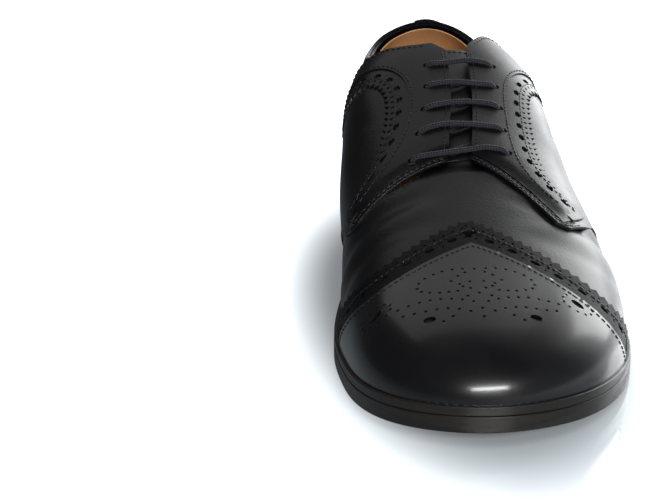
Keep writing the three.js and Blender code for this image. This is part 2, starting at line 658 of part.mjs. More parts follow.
// ---------------------------------------------------------------- tongue and its lining
const tongueOutline = (inset) => {
  const side = smooth([[15, 133], [22, 146], [28, 165], [31, 190], [31, 203], [26, 211], [14, 215], [0, 216]], 16)
    .map(([x, y], i) => [Math.max(x - inset, 0), i === 0 ? THROAT + FIT_GAP : y - inset]);
  return [...side, ...side.slice(0, -1).reverse().map(([x, y]) => [-x, y])];
};
addPiece("tongue", lasted(tongueOutline(0), leatherLow, leatherHigh, tongueLift), blackCalf);
addPiece("tongue_lining", lasted(tongueOutline(GAP), 0, liningTop, tongueLift), tanLining);

// ---------------------------------------------------------------- quarters
const eyeletSpot = (row, side) => {
  const share = row / (EYELET_ROWS - 1);
  const middle = -3 * (1 - share);
  const half = 13 + 4.5 * (1 - share) ** 2;
  return [(middle + side * half) * gradeX, EYELET_FIRST * gradeY + row * EYELET_PITCH];
};
const FACING_GAP = 8.2;
// Front edge of a facing, from the throat to its top corner.
const facingFront = (side, inset) =>
  [[0, 130], [0.5, 160], [1, 202]].map(([share, y]) => {
    const middle = -3 * (1 - share);
    return [(middle * gradeX) + side * (FACING_GAP / 2 + inset), y * gradeY];
  });
// Derby line: lower front edge from the throat to the tab's two corners.
const derbyLine = {
  1: [[12, 121], [23, 109.5], [34, 96.5], [44, 108.5]],
  [-1]: [[-20, 127], [-34, 123.5], [-47, 121], [-54, 128.5]],
};
// Top of a facing, then the topline to the back seam. The last part is given by height.
const facingTop = {
  1: [[5, 206], [10, 215], [17, 223.5], [28, 229]],
  [-1]: [[-9, 208.5], [-18, 209.5], [-32, 216.5], [-46, 225.5]],
};
const RIM_SIDE = [[236, 86], [248, 83.5], [260, 83]];
const RIM_BACK = [[78, 83.5], [62, 85], [46, 87.5], [31, 90.5], [16, 93], [2, 94]];
const rimHeight = (height) => (height * CROWN_HEIGHT) / BASE_CROWN;
const BACK_SEAM = GAP / 2;
function topline(side) {
  const alongSide = RIM_SIDE.map(([y, height]) => dropTo(side, y * gradeY, rimHeight(height)));
  const roundBack = RIM_BACK.map(([degrees, height]) =>
    dropTo(...fanPoint(HEEL_FAN, 1, side * degrees), rimHeight(height)),
  );
  return [...facingTop[side].map(graded), ...alongSide, ...roundBack];
}
const atSeam = (side, [, y]) => [side * BACK_SEAM, y];
// Seam that closes the quarter's front below the tab, down to the feather line.
const frontSeam = {
  1: [[52, 116], [64, 126], [78, 134]],
  [-1]: [[-62, 139], [-74, 147], [-86, 152]],
};
function quarterOutline(side, frontInset) {
  const rim = topline(side);
  const seam = overLast(frontSeam[side].map(graded));
  const bottom = alongFeather(side, HEEL_BACK, placeOf(seam.at(-1)));
  return [
    ...facingFront(side, frontInset),
    ...rim,
    atSeam(side, rim.at(-1)),
    atSeam(side, bottom[0]),
    ...bottom.slice(1),
    ...seam.reverse(),
    ...derbyLine[side].map(graded).reverse(),
  ];
}
const EYELET_BARREL = EYELET_BORE + 2 * EYELET_WALL;
const HOLE_SIDES = 8;
const holesFor = (side, diameter) =>
  Array.from({ length: EYELET_ROWS }, (_, row) => ring(...eyeletSpot(row, side), diameter / 2, HOLE_SIDES));
// The window is the part of the side panel that the facing leaves uncovered.
const windowEdge = {
  1: [[44, 108.5], [37, 114], [29, 120.5], [21.5, 131], [18.5, 146], [18, 160], [18.5, 174], [22, 186], [30, 196],
    [40, 203.5], [52, 210], [66, 216], [82, 221]],
  [-1]: [[-54, 128.5], [-45, 131], [-36, 135.5], [-29, 145], [-24, 160], [-22, 174], [-23.5, 188], [-30, 198],
    [-41, 204], [-54, 209], [-68, 215], [-82, 219]],
};
const COUNTER_FRONT = 232; // station where the heel counter's front edge meets the feather line
function facingOutline(side) {
  const rim = topline(side);
  const window = overLast(smooth(windowEdge[side], 34));
  return [
    ...facingFront(side, 0),
    ...rim,
    atSeam(side, rim.at(-1)),
    ...counterEdge(side, GAP).reverse(),
    ...alongFeather(side, placeOf([side, COUNTER_FRONT * gradeY - 1]), placeOf(window.at(-1)), 20),
    ...window.reverse(),
    ...derbyLine[side].map(graded).slice(0, 3).reverse(),
  ];
}
// Front and top edge of the heel counter, from the feather line up to the back seam.
function counterEdge(side, clearance) {
  const heights = [[88, 34], [80, 44], [68, 54], [54, 61], [38, 65], [20, 67], [3, 68]];
  const edge = heights.map(([degrees, height]) =>
    dropTo(...fanPoint(HEEL_FAN, 1, side * degrees), rimHeight(height) + clearance),
  );
  const foot = pastFeather([side, COUNTER_FRONT * gradeY + (clearance ? -1 : 1)]);
  return clearance ? [foot, ...edge, atSeam(side, edge.at(-1))] : [foot, ...edge];
}
for (const [side, name] of [[1, "lateral"], [-1, "medial"]]) {
  const barrelHoles = holesFor(side, EYELET_BARREL + 2 * GAP);
  const lining = lasted(quarterOutline(side, -GAP), 0, liningTop, liningLift, barrelHoles);
  addPiece("quarter_lining_" + name, trimmed(lining), tanLining);
  const panel = lasted(quarterOutline(side, GAP), leatherLow, leatherHigh, quarterLift, barrelHoles);
  addPiece("side_panel_" + name, trimmed(panel), blackCalf);
  const facing = lasted(facingOutline(side), overlayLow, overlayHigh, quarterLift, holesFor(side, FACING_HOLE));
  addPiece("facing_" + name, trimmed(facing), blackCalf);
}

// ---------------------------------------------------------------- heel stiffener and heel counter
const counterOutline = [
  ...counterEdge(1, 0),
  ...counterEdge(-1, 0).reverse(),
  ...alongFeather(-1, placeOf([-1, COUNTER_FRONT * gradeY + 3]), HEEL_BACK),
  ...alongFeather(1, HEEL_BACK, placeOf([1, COUNTER_FRONT * gradeY + 3])),
];
addPiece("heel_counter", trimmed(lasted(counterOutline, overlayLow, overlayHigh, quarterLift)), blackCalf);
const stiffenerEdge = (side) =>
  [[84, 34], [76, 50], [60, 64], [40, 72], [20, 75], [3, 76]].map(([degrees, height]) =>
    dropTo(...fanPoint(HEEL_FAN, 1, side * degrees), rimHeight(height)),
  );
const stiffenerOutline = [
  ...stiffenerEdge(1),
  ...stiffenerEdge(-1).reverse(),
  ...alongFeather(-1, HEEL_BACK - 81, HEEL_BACK),
  ...alongFeather(1, HEEL_BACK, HEEL_BACK - 81),
];
addPiece("heel_stiffener",
  trimmed(lasted(stiffenerOutline, leatherLow, leatherLow + STIFFENER_THICKNESS)), stiffenerFibre);

// ---------------------------------------------------------------- eyelets
const eyeletLow = -EYELET_SEAT - EYELET_FLANGE; // flange lies just inside the lining
const eyeletHigh = overlayLow - (EYELET_BORE / 7 - 0.2); // the facing curves more over a wide barrel
const EYELET_SIDES = 12;
function eyeletGeometry() {
  const bore = EYELET_BORE / 2;
  const outer = bore + EYELET_WALL;
  const flange = outer + EYELET_FLANGE_WIDTH;
  const profile = [
    [bore, eyeletLow], [flange, eyeletLow], [flange, eyeletLow + EYELET_FLANGE],
    [outer, eyeletLow + EYELET_FLANGE], [outer, eyeletHigh], [bore, eyeletHigh], [bore, eyeletLow],
  ].map(([r, z]) => new THREE.Vector2(r, z));
  return new THREE.LatheGeometry(profile, EYELET_SIDES).rotateX(Math.PI / 2);
}
for (const [side, name] of [[1, "lateral"], [-1, "medial"]])
  for (let row = 0; row < EYELET_ROWS; row++) {
    const spot = eyeletSpot(row, side);
    const low = onLast(...spot, 0, quarterLift);
    const up = onLast(...spot, 1, quarterLift).sub(low).normalize();
    const geometry = eyeletGeometry().applyQuaternion(
      new THREE.Quaternion().setFromUnitVectors(new THREE.Vector3(0, 0, 1), up),
    );
    addPiece("eyelet_" + name + "_" + (row + 1), geometry.translate(low.x, low.y, low.z), blackMetal);
  }

// ---------------------------------------------------------------- lace
// A cord whose rings stand exactly at its listed points.
class LaceLine extends THREE.Curve {
  constructor(points) {
    super();
    this.points = points;
  }
  getPoint(t) {
    const at = clamp(t, 0, 1) * (this.points.length - 1);
    const i = Math.min(Math.floor(at), this.points.length - 2);
    return this.points[i].clone().lerp(this.points[i + 1], at - i);
  }
  getPointAt(u) {
    return this.getPoint(u);
  }
  getTangentAt(u) {
    const half = 0.5 / (this.points.length - 1);
    return this.getPoint(u + half).sub(this.getPoint(u - half)).normalize();
  }
}
const laceRadius = LACE_DIAMETER / 2;
const laceTop = overlayHigh + QUARTER_LIFT + GAP + laceRadius; // centre of a bar over the facings
const laceUnder = QUARTER_LIFT + eyeletLow - GAP / 2 - laceRadius; // centre under the flanges
const route = [];
const via = (x, y, height) => route.push(onLast(x * gradeX, y * gradeY, height));
const LACE_BEND = 1.5; // how far before a hole the lace starts to turn
const base = ([x, y]) => [x / gradeX, y / gradeY];
// Straight over or under the facings between two holes, turned into each hole.
function run(from, to, height, intoHole) {
  const length = Math.hypot(to[0] - from[0], to[1] - from[1]);
  const start = LACE_BEND / length;
  via(...from, intoHole);
  for (const share of [start, 0.25, 0.5, 0.75, 1 - start])
    via(from[0] + (to[0] - from[0]) * share, from[1] + (to[1] - from[1]) * share, height);
  via(...to, intoHole);
}
// The free ends lie between the tongue and the facings.
const TAIL_START = [[25, 179], [25.5, 170], [25.5, 160], [25, 151], [23, 143], [19.5, 136], [15.9, 132.1]];
const TAIL_END = [[-14.6, 191.6], [-17.5, 192.5], [-22, 190], [-25.5, 183], [-26.5, 175]];
for (const [x, y] of TAIL_START) via(x, y, laceUnder);
for (let row = 0; row < EYELET_ROWS; row++) {
  const lateral = base(eyeletSpot(row, 1));
  const medial = base(eyeletSpot(row, -1));
  if (row === 0) via(...lateral, laceUnder + LACE_BEND);
  run(lateral, medial, laceTop, laceTop - LACE_BEND);
  if (row < EYELET_ROWS - 1)
    run(medial, base(eyeletSpot(row + 1, 1)), laceUnder, laceUnder + LACE_BEND);
  else via(...medial, laceUnder + LACE_BEND);
}
for (const [x, y] of TAIL_END) via(x, y, laceUnder);
const LACE_SIDES = 8;
const laceSection = new THREE.Shape(
  ring(0, 0, laceRadius, LACE_SIDES).map(([x, y]) => new THREE.Vector2(x, y)),
);
addPiece("lace", new THREE.ExtrudeGeometry(laceSection, {
  steps: route.length - 1, extrudePath: new LaceLine(route),
}), waxedCotton);
for (const [name, tip, before] of [
  ["aglet_1", route[0], route[1]],
  ["aglet_2", route.at(-1), route.at(-2)],
]) {
  const along = tip.clone().sub(before).normalize();
  const geometry = new THREE.CylinderGeometry(
    AGLET_DIAMETER / 2, AGLET_DIAMETER / 2, AGLET_LENGTH, 10,
  ).applyQuaternion(new THREE.Quaternion().setFromUnitVectors(new THREE.Vector3(0, 1, 0), along));
  const centre = tip.clone().addScaledVector(along, GAP + AGLET_LENGTH / 2);
  addPiece(name, geometry.translate(centre.x, centre.y, centre.z), aglet);
}

// ---------------------------------------------------------------- origin at the middle of the footprint
const extent = new THREE.Box3().setFromObject(shoe);
const middle = extent.getCenter(new THREE.Vector3());
shoe.position.set(-middle.x, -middle.y, -extent.min.z);

export default shoe;
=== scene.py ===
import math

import bmesh
import bpy
import numpy as np
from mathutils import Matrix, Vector, geometry


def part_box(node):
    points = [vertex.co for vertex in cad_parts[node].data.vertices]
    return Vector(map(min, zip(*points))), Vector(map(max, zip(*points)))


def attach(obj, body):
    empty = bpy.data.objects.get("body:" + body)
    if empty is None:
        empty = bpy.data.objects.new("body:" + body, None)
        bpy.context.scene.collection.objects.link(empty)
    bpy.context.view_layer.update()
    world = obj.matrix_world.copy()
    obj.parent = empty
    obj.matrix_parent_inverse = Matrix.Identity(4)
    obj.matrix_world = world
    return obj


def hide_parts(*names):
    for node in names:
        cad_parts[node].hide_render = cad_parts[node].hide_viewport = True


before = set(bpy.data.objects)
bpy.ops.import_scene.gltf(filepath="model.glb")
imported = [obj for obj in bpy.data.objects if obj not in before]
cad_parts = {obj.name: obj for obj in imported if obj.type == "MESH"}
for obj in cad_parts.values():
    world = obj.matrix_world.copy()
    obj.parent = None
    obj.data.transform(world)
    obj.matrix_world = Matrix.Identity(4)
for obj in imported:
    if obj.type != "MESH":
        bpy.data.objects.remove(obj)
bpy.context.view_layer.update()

MM = 0.001

# ---------------------------------------------------------------- camera
# A studio camera low in front of the toe, a little to the left of the shoe, looking slightly down.
camera = bpy.data.objects.new("camera", bpy.data.cameras.new("camera"))
bpy.context.scene.collection.objects.link(camera)
camera.location = (-0.0775, -0.5887, 0.1972)
camera.rotation_euler = (math.radians(73.5), 0, math.radians(-2.5))
camera.data.lens = 80.6
camera.data.clip_start = 0.01
bpy.context.scene.camera = camera

# ---------------------------------------------------------------- studio
# A plain pale glossy table in a room that is bright behind the outer side, with one large soft lamp
# there, one high behind the shoe, a low strip in front, and a fill lamp that casts no reflection.
bpy.context.scene.view_settings.view_transform = "Standard"
room = bpy.data.worlds.new("room")
bpy.context.scene.world = room
room.use_nodes = True
room_light = room.node_tree.nodes["Background"]


def grow(tree, kind, inputs=(), **settings):
    """Adds a node with its settings. Each of its inputs is a value or the socket that feeds it."""
    made = tree.nodes.new("ShaderNode" + kind)
    for key, value in settings.items():
        setattr(made, key, value)
    for key, value in dict(inputs).items():
        if isinstance(value, bpy.types.NodeSocket):
            tree.links.new(value, made.inputs[key])
        else:
            made.inputs[key].default_value = value
    return made


seen_light = grow(room.node_tree, "Background", {"Color": (1, 1, 1, 1), "Strength": 1.25})
room_side = grow(room.node_tree, "TexCoord")
room_axes = grow(room.node_tree, "SeparateXYZ", {0: room_side.outputs["Generated"]})
room_share = None
for axis, dark, bright, least in (("X", -0.02, 0.42, 0), ("Y", 0.2, 1.0, 0.03), ("Z", 0.8, 0.1, 0.08)):
    span = grow(room.node_tree, "MapRange", {
        "From Min": dark, "From Max": bright, "To Min": least, "Value": room_axes.outputs[axis],
    }, interpolation_type="SMOOTHSTEP")
    if room_share:
        both = grow(room.node_tree, "Math", {
            0: room_share, 1: span.outputs["Result"]}, operation="MULTIPLY")
        room_share = both.outputs["Value"]
    else:
        room_share = span.outputs["Result"]
room_level = grow(room.node_tree, "Math", {0: room_share, 1: 2.6, 2: 0.035}, operation="MULTIPLY_ADD")
room_path = grow(room.node_tree, "LightPath")
room_choice = grow(room.node_tree, "MixShader", {
    "Fac": room_path.outputs["Is Camera Ray"], 1: room_light.outputs["Background"],
    2: seen_light.outputs["Background"]})
room_light.inputs["Color"].default_value = (0.96, 0.98, 1, 1)
room_end = room.node_tree.nodes["World Output"]
room.node_tree.links.new(room_level.outputs["Value"], room_light.inputs["Strength"])
room.node_tree.links.new(room_choice.outputs["Shader"], room_end.inputs["Surface"])


def soft_lamp(name, place, target, size, power):
    lamp = bpy.data.objects.new(name, bpy.data.lights.new(name, "AREA"))
    lamp.data.shape = "RECTANGLE"
    lamp.data.size, lamp.data.size_y = size
    lamp.data.energy = power
    lamp.location = place
    lamp.rotation_euler = (Vector(target) - Vector(place)).to_track_quat("-Z", "Y").to_euler()
    bpy.context.scene.collection.objects.link(lamp)
    return lamp


soft_lamp("lamp_outer", (0.85, 0.85, 0.5), (0, 0, 0.03), (0.9, 0.7), 6)
soft_lamp("lamp_top", (-0.1, 1.3, 1.5), (0, -0.05, 0), (2.2, 1.4), 3.4)
fill = soft_lamp("lamp_fill", (-0.05, -1.15, 1.3), (0, 0.1, 0.09), (0.9, 0.9), 10)
fill.visible_glossy = False
soft_lamp("lamp_front", (0.16, -1.1, 0.5), (0, -0.15, 0.03), (0.8, 0.13), 8)

table_mesh = bmesh.new()
bmesh.ops.create_grid(table_mesh, x_segments=1, y_segments=1, size=6)
table_top = bpy.data.meshes.new("table_top")
table_mesh.to_mesh(table_top)
table_mesh.free()
table = bpy.data.objects.new("table_top", table_top)
bpy.context.scene.collection.objects.link(table)
pale_gloss = bpy.data.materials.new("pale_gloss")
pale_gloss.use_nodes = True
table_tree = pale_gloss.node_tree
pale = table_tree.nodes["Principled BSDF"]
# Its emission colour tints the glow set below: painted shade under the shoe, painted light on the outer side.
for socket, value in (
    ("Base Color", (0.44, 0.50, 0.54, 1)), ("Roughness", 0.1), ("Specular IOR Level", 0.9),
    ("Coat Weight", 0.8), ("Coat Roughness", 0.06), ("Emission Color", (0.93, 0.97, 1.0, 1)),
):
    pale.inputs[socket].default_value = value
# The table glows. The camera sees its glow dimmed in an oval under and round the shoe, a painted shade, and
# bright further out. Other rays see it glow only on the outer side, a painted light that lights the shoe and
# shows in its leather.
table_place = grow(table_tree, "TexCoord")
table_ellipse = grow(table_tree, "VectorMath", {
    0: table_place.outputs["Object"], 1: (16, 5.8, 0)}, operation="MULTIPLY")
table_reach = grow(table_tree, "VectorMath", {0: table_ellipse.outputs["Vector"]}, operation="LENGTH")
table_axes = grow(table_tree, "SeparateXYZ", {0: table_place.outputs["Object"]})
# Painted shade: the glow the camera sees is dimmed near the shoe. Painted light: for other rays only the
# outer side glows.
camera_glow_painted_shade, outer_glow_painted_light = [
    grow(table_tree, "MapRange", {
        "From Min": low, "From Max": high, "To Min": dim, "To Max": bright, "Value": source,
    }, interpolation_type="SMOOTHSTEP")
    for source, low, high, dim, bright in (
        (table_reach.outputs["Value"], 0.8, 1.5, 0.16, 2.2), (table_axes.outputs["X"], 0.06, 0.22, 0, 0.8))
]
table_ray = grow(table_tree, "LightPath")
table_glow_painted_light_and_shade = grow(table_tree, "Mix", {
    "Factor": table_ray.outputs["Is Camera Ray"], "A": outer_glow_painted_light.outputs["Result"],
    "B": camera_glow_painted_shade.outputs["Result"]})
table_tree.links.new(table_glow_painted_light_and_shade.outputs["Result"], pale.inputs["Emission Strength"])
table_top.materials.append(pale_gloss)

# ---------------------------------------------------------------- the last
# The wooden form the shoe is drawn over. It isn't part of the shoe, but every lasted piece takes its
# shape. Lengths are in millimetres here, from the toe's tip, on the ground under the shoe's middle.
OUTSOLE_THICKNESS = 5.7
WELT_THICKNESS = 3
LAYER_GAP = 0.3
SOLE_STACK = OUTSOLE_THICKNESS + LAYER_GAP + WELT_THICKNESS
TOE_SPRING = 7
HEEL_HEIGHT = 22
TOE_FAN = 95  # ribs fan out from the crest in front of this station
HEEL_FAN = 262  # and behind this one
RIB_STEPS = 72
FEATHER_LINE = [
    (0, 302), (21, 295), (31, 272), (32.5, 240), (35, 205), (41, 165), (50, 125), (53, 100), (49, 68),
    (37, 38), (20.5, 18), (3, 8), (-4, 6.5), (-14, 7.5), (-30, 17.5), (-40, 35), (-44.5, 60), (-46, 85),
    (-44.5, 110), (-39.5, 140), (-34, 170), (-31, 205), (-31, 240), (-30, 272), (-20.5, 295),
]


def through(pairs):
    """Natural cubic spline through (station, value) pairs, level beyond its ends."""
    at, value = np.array(pairs, float).T
    step = np.diff(at)
    count = len(at)
    system = np.eye(count)
    right = np.zeros(count)
    for i in range(1, count - 1):
        system[i, i - 1:i + 2] = step[i - 1], 2 * (step[i - 1] + step[i]), step[i]
        slopes = (value[i + 1] - value[i]) / step[i] - (value[i] - value[i - 1]) / step[i - 1]
        right[i] = 6 * slopes
    bend = np.linalg.solve(system, right)

    def along(station):
        s = np.clip(station, at[0], at[-1])
        i = np.clip(np.searchsorted(at, s) - 1, 0, count - 2)
        t, u, h = s - at[i], at[i + 1] - s, step[i]
        curved = (bend[i] * u**3 + bend[i + 1] * t**3) / (6 * h)
        return curved + (value[i] / h - bend[i] * h / 6) * u + (value[i + 1] / h - bend[i + 1] * h / 6) * t

    return along


def closed_through(points):
    """Smooth closed curve through points, as a function of 0..1."""
    wrapped = np.array(points[-3:] + points + points[:4], float)
    run = np.concatenate([[0], np.cumsum(np.hypot(*np.diff(wrapped, axis=0).T))])
    x = through(np.stack([run, wrapped[:, 0]], 1))
    y = through(np.stack([run, wrapped[:, 1]], 1))
    start, end = run[3], run[3 + len(points)]

    def along(t):
        at = start + (np.asarray(t) % 1) * (end - start)
        return np.stack([x(at), y(at)], -1)

    return along


def smoothstep(value, low, high):
    t = np.clip((np.asarray(value, float) - low) / (high - low), 0, 1)
    return t * t * (3 - 2 * t)


feather = closed_through(FEATHER_LINE)
ground_clearance = through([
    (0, TOE_SPRING), (15, TOE_SPRING * 0.71), (35, TOE_SPRING * 0.43), (60, TOE_SPRING * 0.17), (95, 0),
    (130, HEEL_HEIGHT * 0.09), (170, HEEL_HEIGHT * 0.386), (205, HEEL_HEIGHT * 0.705),
    (235, HEEL_HEIGHT * 0.909), (305, HEEL_HEIGHT),
])
crest_height = through([
    (-20, 30), (5, 33.5), (30, 37.5), (60, 43), (90, 51.5), (120, 61.5), (150, 72.5), (180, 84),
    (205, 93.5), (235, 101), (270, 103.5), (310, 104),
])
crest_line = through([(0, -4), (60, -3), (95, -1), (130, 2), (170, 5), (210, 5), (262, 2), (305, 0)])
SECTION_STATIONS = [0, 20, 60, 100, 150, 200, 250, 305]
SECTIONS = {
    "wall": ([0.62, 0.62, 0.58, 0.6, 0.7, 0.8, 0.8, 0.75], [0.62, 0.62, 0.6, 0.6, 0.7, 0.8, 0.8, 0.75]),
    "shoulder": (
        [0.75, 0.7, 0.62, 0.58, 0.62, 0.9, 0.2, 0.6], [0.75, 0.7, 0.62, 0.58, 0.66, 0.95, 0.35, 0.6],
    ),
    "bulge": (
        [0.02, 0.03, 0.08, 0.14, 0.26, 0.48, 0.22, 0.12], [0.02, 0.03, 0.05, 0.12, 0.42, 0.66, 0.28, 0.12],
    ),
}
sections = {
    name: [through(list(zip(SECTION_STATIONS, values))) for values in sides]
    for name, sides in SECTIONS.items()
}
feather_points = feather(np.arange(2400) / 2400)


def fan_radii(station, sign):
    dx = feather_points[:, 0] - crest_line(station)
    dy = sign * (feather_points[:, 1] - station)
    turn = np.arctan2(dx, dy)
    order = np.argsort(turn)
    return turn[order], np.hypot(dx, dy)[order]


def side_edge(sign):
    x, y = feather_points.T
    near = (sign * (x - crest_line(y)) > 0) & (y > TOE_FAN - 15) & (y < HEEL_FAN + 15)
    order = np.argsort(y[near])
    return y[near][order], x[near][order]


toe_radii, heel_radii = fan_radii(TOE_FAN, -1), fan_radii(HEEL_FAN, 1)
lateral_edge, medial_edge = side_edge(1), side_edge(-1)


def ribs(x, y):
    """Points down the last's ribs through pattern points, and each point's length down its rib."""
    station = np.clip(y, TOE_FAN, HEEL_FAN)
    length = np.hypot(x, y - station)
    fan = station != y
    size = np.maximum(length, 1e-9)
    ex = np.where(fan, x / size, np.where(x < 0, -1.0, 1.0))
    ey = np.where(fan, (y - station) / size, 0.0)
    crest_x = crest_line(station)
    toe = np.interp(np.arctan2(ex, -ey), *toe_radii)
    heel = np.interp(np.arctan2(ex, ey), *heel_radii)
    side = np.abs(np.where(x < 0, np.interp(y, *medial_edge), np.interp(y, *lateral_edge)) - crest_x)
    reach = np.where(y < TOE_FAN, toe, np.where(y > HEEL_FAN, heel, side))
    foot_x, foot_y = crest_x + ex * reach, station + ey * reach
    share = smoothstep(ex, -1, 1)
    wall, shoulder, bulge = [
        (sections[name][0](foot_y) * share + sections[name][1](foot_y) * (1 - share))[..., None]
        for name in ("wall", "shoulder", "bulge")
    ]
    bottom = (ground_clearance(foot_y) + SOLE_STACK)[..., None]
    u = np.linspace(1, 0, RIB_STEPS + 1)
    low, high = 3 * (1 - u) ** 2 * u, 3 * (1 - u) * u**2
    inward = -low * bulge + high * (1 - shoulder) + u**3
    upward = low * wall + high + u**3
    px = foot_x[..., None] + (crest_x - foot_x)[..., None] * inward
    py = foot_y[..., None] + (station - foot_y)[..., None] * inward
    return np.stack([px, py, bottom + (crest_height(py) - bottom) * upward], -1), length


def last_points(x, y):
    points, length = ribs(x, y)
    step = np.linalg.norm(np.diff(points, axis=-2), axis=-1)
    run = np.concatenate([np.zeros(step.shape[:-1] + (1,)), np.cumsum(step, -1)], -1)
    i = np.clip((run <= length[..., None]).sum(-1) - 1, 0, RIB_STEPS - 1)[..., None]
    share = (length[..., None] - np.take_along_axis(run, i, -1)) / np.take_along_axis(step, i, -1)
    here = np.take_along_axis(points, i[..., None], -2)[..., 0, :]
    there = np.take_along_axis(points, i[..., None] + 1, -2)[..., 0, :]
    return here + (there - here) * share


def girth(x, y):
    points, length = ribs(np.asarray(x, float), np.asarray(y, float))
    return np.linalg.norm(np.diff(points, axis=-2), axis=-1).sum(-1)


# The form is sanded smooth: its surface, on a square grid of the pattern, is averaged with its neighbours.
GRID_X = np.arange(-150.0, 151.0)
GRID_Y = np.arange(-50.0, 421.0)
SANDING = 24
form = np.array([last_points(GRID_X, np.full_like(GRID_X, y)) for y in GRID_Y])
for _ in range(SANDING):
    form[1:-1] = (form[:-2] + 2 * form[1:-1] + form[2:]) / 4
    form[:, 1:-1] = (form[:, :-2] + 2 * form[:, 1:-1] + form[:, 2:]) / 4
form_normal = np.cross(np.gradient(form, axis=1), np.gradient(form, axis=0))
form_normal /= np.linalg.norm(form_normal, axis=-1, keepdims=True)


def on_last(spots, height):
    """Where pattern points lie at a height above the last."""
    spots = np.asarray(spots, float)
    fx = np.clip(spots[:, 0] - GRID_X[0], 0, len(GRID_X) - 2.001)
    fy = np.clip(spots[:, 1] - GRID_Y[0], 0, len(GRID_Y) - 2.001)
    i, j = fx.astype(int), fy.astype(int)
    a, b = (fx - i)[:, None], (fy - j)[:, None]

    def blend(grid):
        front = grid[j, i] * (1 - a) + grid[j, i + 1] * a
        return front * (1 - b) + (grid[j + 1, i] * (1 - a) + grid[j + 1, i + 1] * a) * b

    return blend(form) + blend(form_normal) * np.asarray(height, float)[:, None]


# ---------------------------------------------------------------- outsole
# One thick sheet of black-edged sole leather under the whole shoe, arched up at the toe and the waist.
# It is cut to the plan outline, its edges are rounded, and it is bent to the ground clearance.
WELT_EDGE_FRONT = 5.5
WELT_EDGE_BACK = 3


def welt_edge(y):
    return WELT_EDGE_FRONT + (WELT_EDGE_BACK - WELT_EDGE_FRONT) * smoothstep(y, 120, 185)


def offset_feather(distance, start=0.0, end=1.0, step=1.5):
    """The feather line moved outwards by a distance, as points about a step apart."""
    count = max(4, int((end - start) * 760 / step))
    t = start + (end - start) * np.arange(count + (end - start < 1)) / count
    points = feather(t)
    ahead = feather(t + 1e-3) - feather(t - 1e-3)
    ahead /= np.linalg.norm(ahead, axis=1, keepdims=True)
    outwards = np.stack([-ahead[:, 1], ahead[:, 0]], 1)
    return points + outwards * np.broadcast_to(distance(points[:, 1]), len(t))[:, None]


plan_edge = offset_feather(welt_edge)
sole_low, sole_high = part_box("outsole")
TO_FRAME = np.array([
    (sole_low.x + sole_high.x) / 2 - (plan_edge[:, 0].min() + plan_edge[:, 0].max()) / 2 * MM,
    (sole_low.y + sole_high.y) / 2 - (plan_edge[:, 1].min() + plan_edge[:, 1].max()) / 2 * MM,
    0,
])


def inside(points, outline):
    """Which points lie inside a closed outline."""
    x, y = points[:, 0][:, None], points[:, 1][:, None]
    x1, y1 = outline[:, 0][None], outline[:, 1][None]
    x2, y2 = np.roll(outline[:, 0], -1)[None], np.roll(outline[:, 1], -1)[None]
    crosses = (y1 > y) != (y2 > y)
    with np.errstate(divide="ignore", invalid="ignore"):
        left = x < (x2 - x1) * (y - y1) / (y2 - y1) + x1
    return (crosses & left).sum(1) % 2 == 1


def flat_sheet(outline, holes, cell):
    """A flat triangulated sheet: an outline with holes, filled with a net of points a cell apart."""
    outline = np.asarray(outline, float)
    loops = [outline] + [np.asarray(hole, float) for hole in holes]
    rims = np.concatenate(loops)
    low, high = outline.min(0), outline.max(0)
    net = []
    for k, y in enumerate(np.arange(low[1], high[1], cell * 0.866)):
        x = np.arange(low[0] + (k % 2) * cell / 2, high[0], cell)
        net.append(np.stack([x, np.full_like(x, y)], 1))
    net = np.concatenate(net)
    net = net[inside(net, outline)]
    clear = np.ones(len(net), bool)
    for start in range(0, len(rims), 400):
        part = rims[start:start + 400]
        clear &= (np.linalg.norm(net[:, None] - part[None], axis=2) > cell * 0.5).all(1)
    net = net[clear]
    edges, first = [], 0
    for loop in loops:
        edges += [(first + i, first + (i + 1) % len(loop)) for i in range(len(loop))]
        first += len(loop)
    points = np.concatenate([rims, net])
    cut = geometry.delaunay_2d_cdt([Vector(p) for p in points], edges, [], 0, 1e-4)
    spots = np.array([tuple(v) for v in cut[0]])
    faces = np.array(cut[2])
    middles = spots[faces].mean(1)
    keep = inside(middles, outline)
    for hole in loops[1:]:
        centre, reach = hole.mean(0), np.abs(hole - hole.mean(0)).max() * 1.5
        near = np.where(keep & (np.abs(middles - centre).max(1) < reach))[0]
        keep[near[inside(middles[near], hole)]] = False
    return spots, faces[keep]


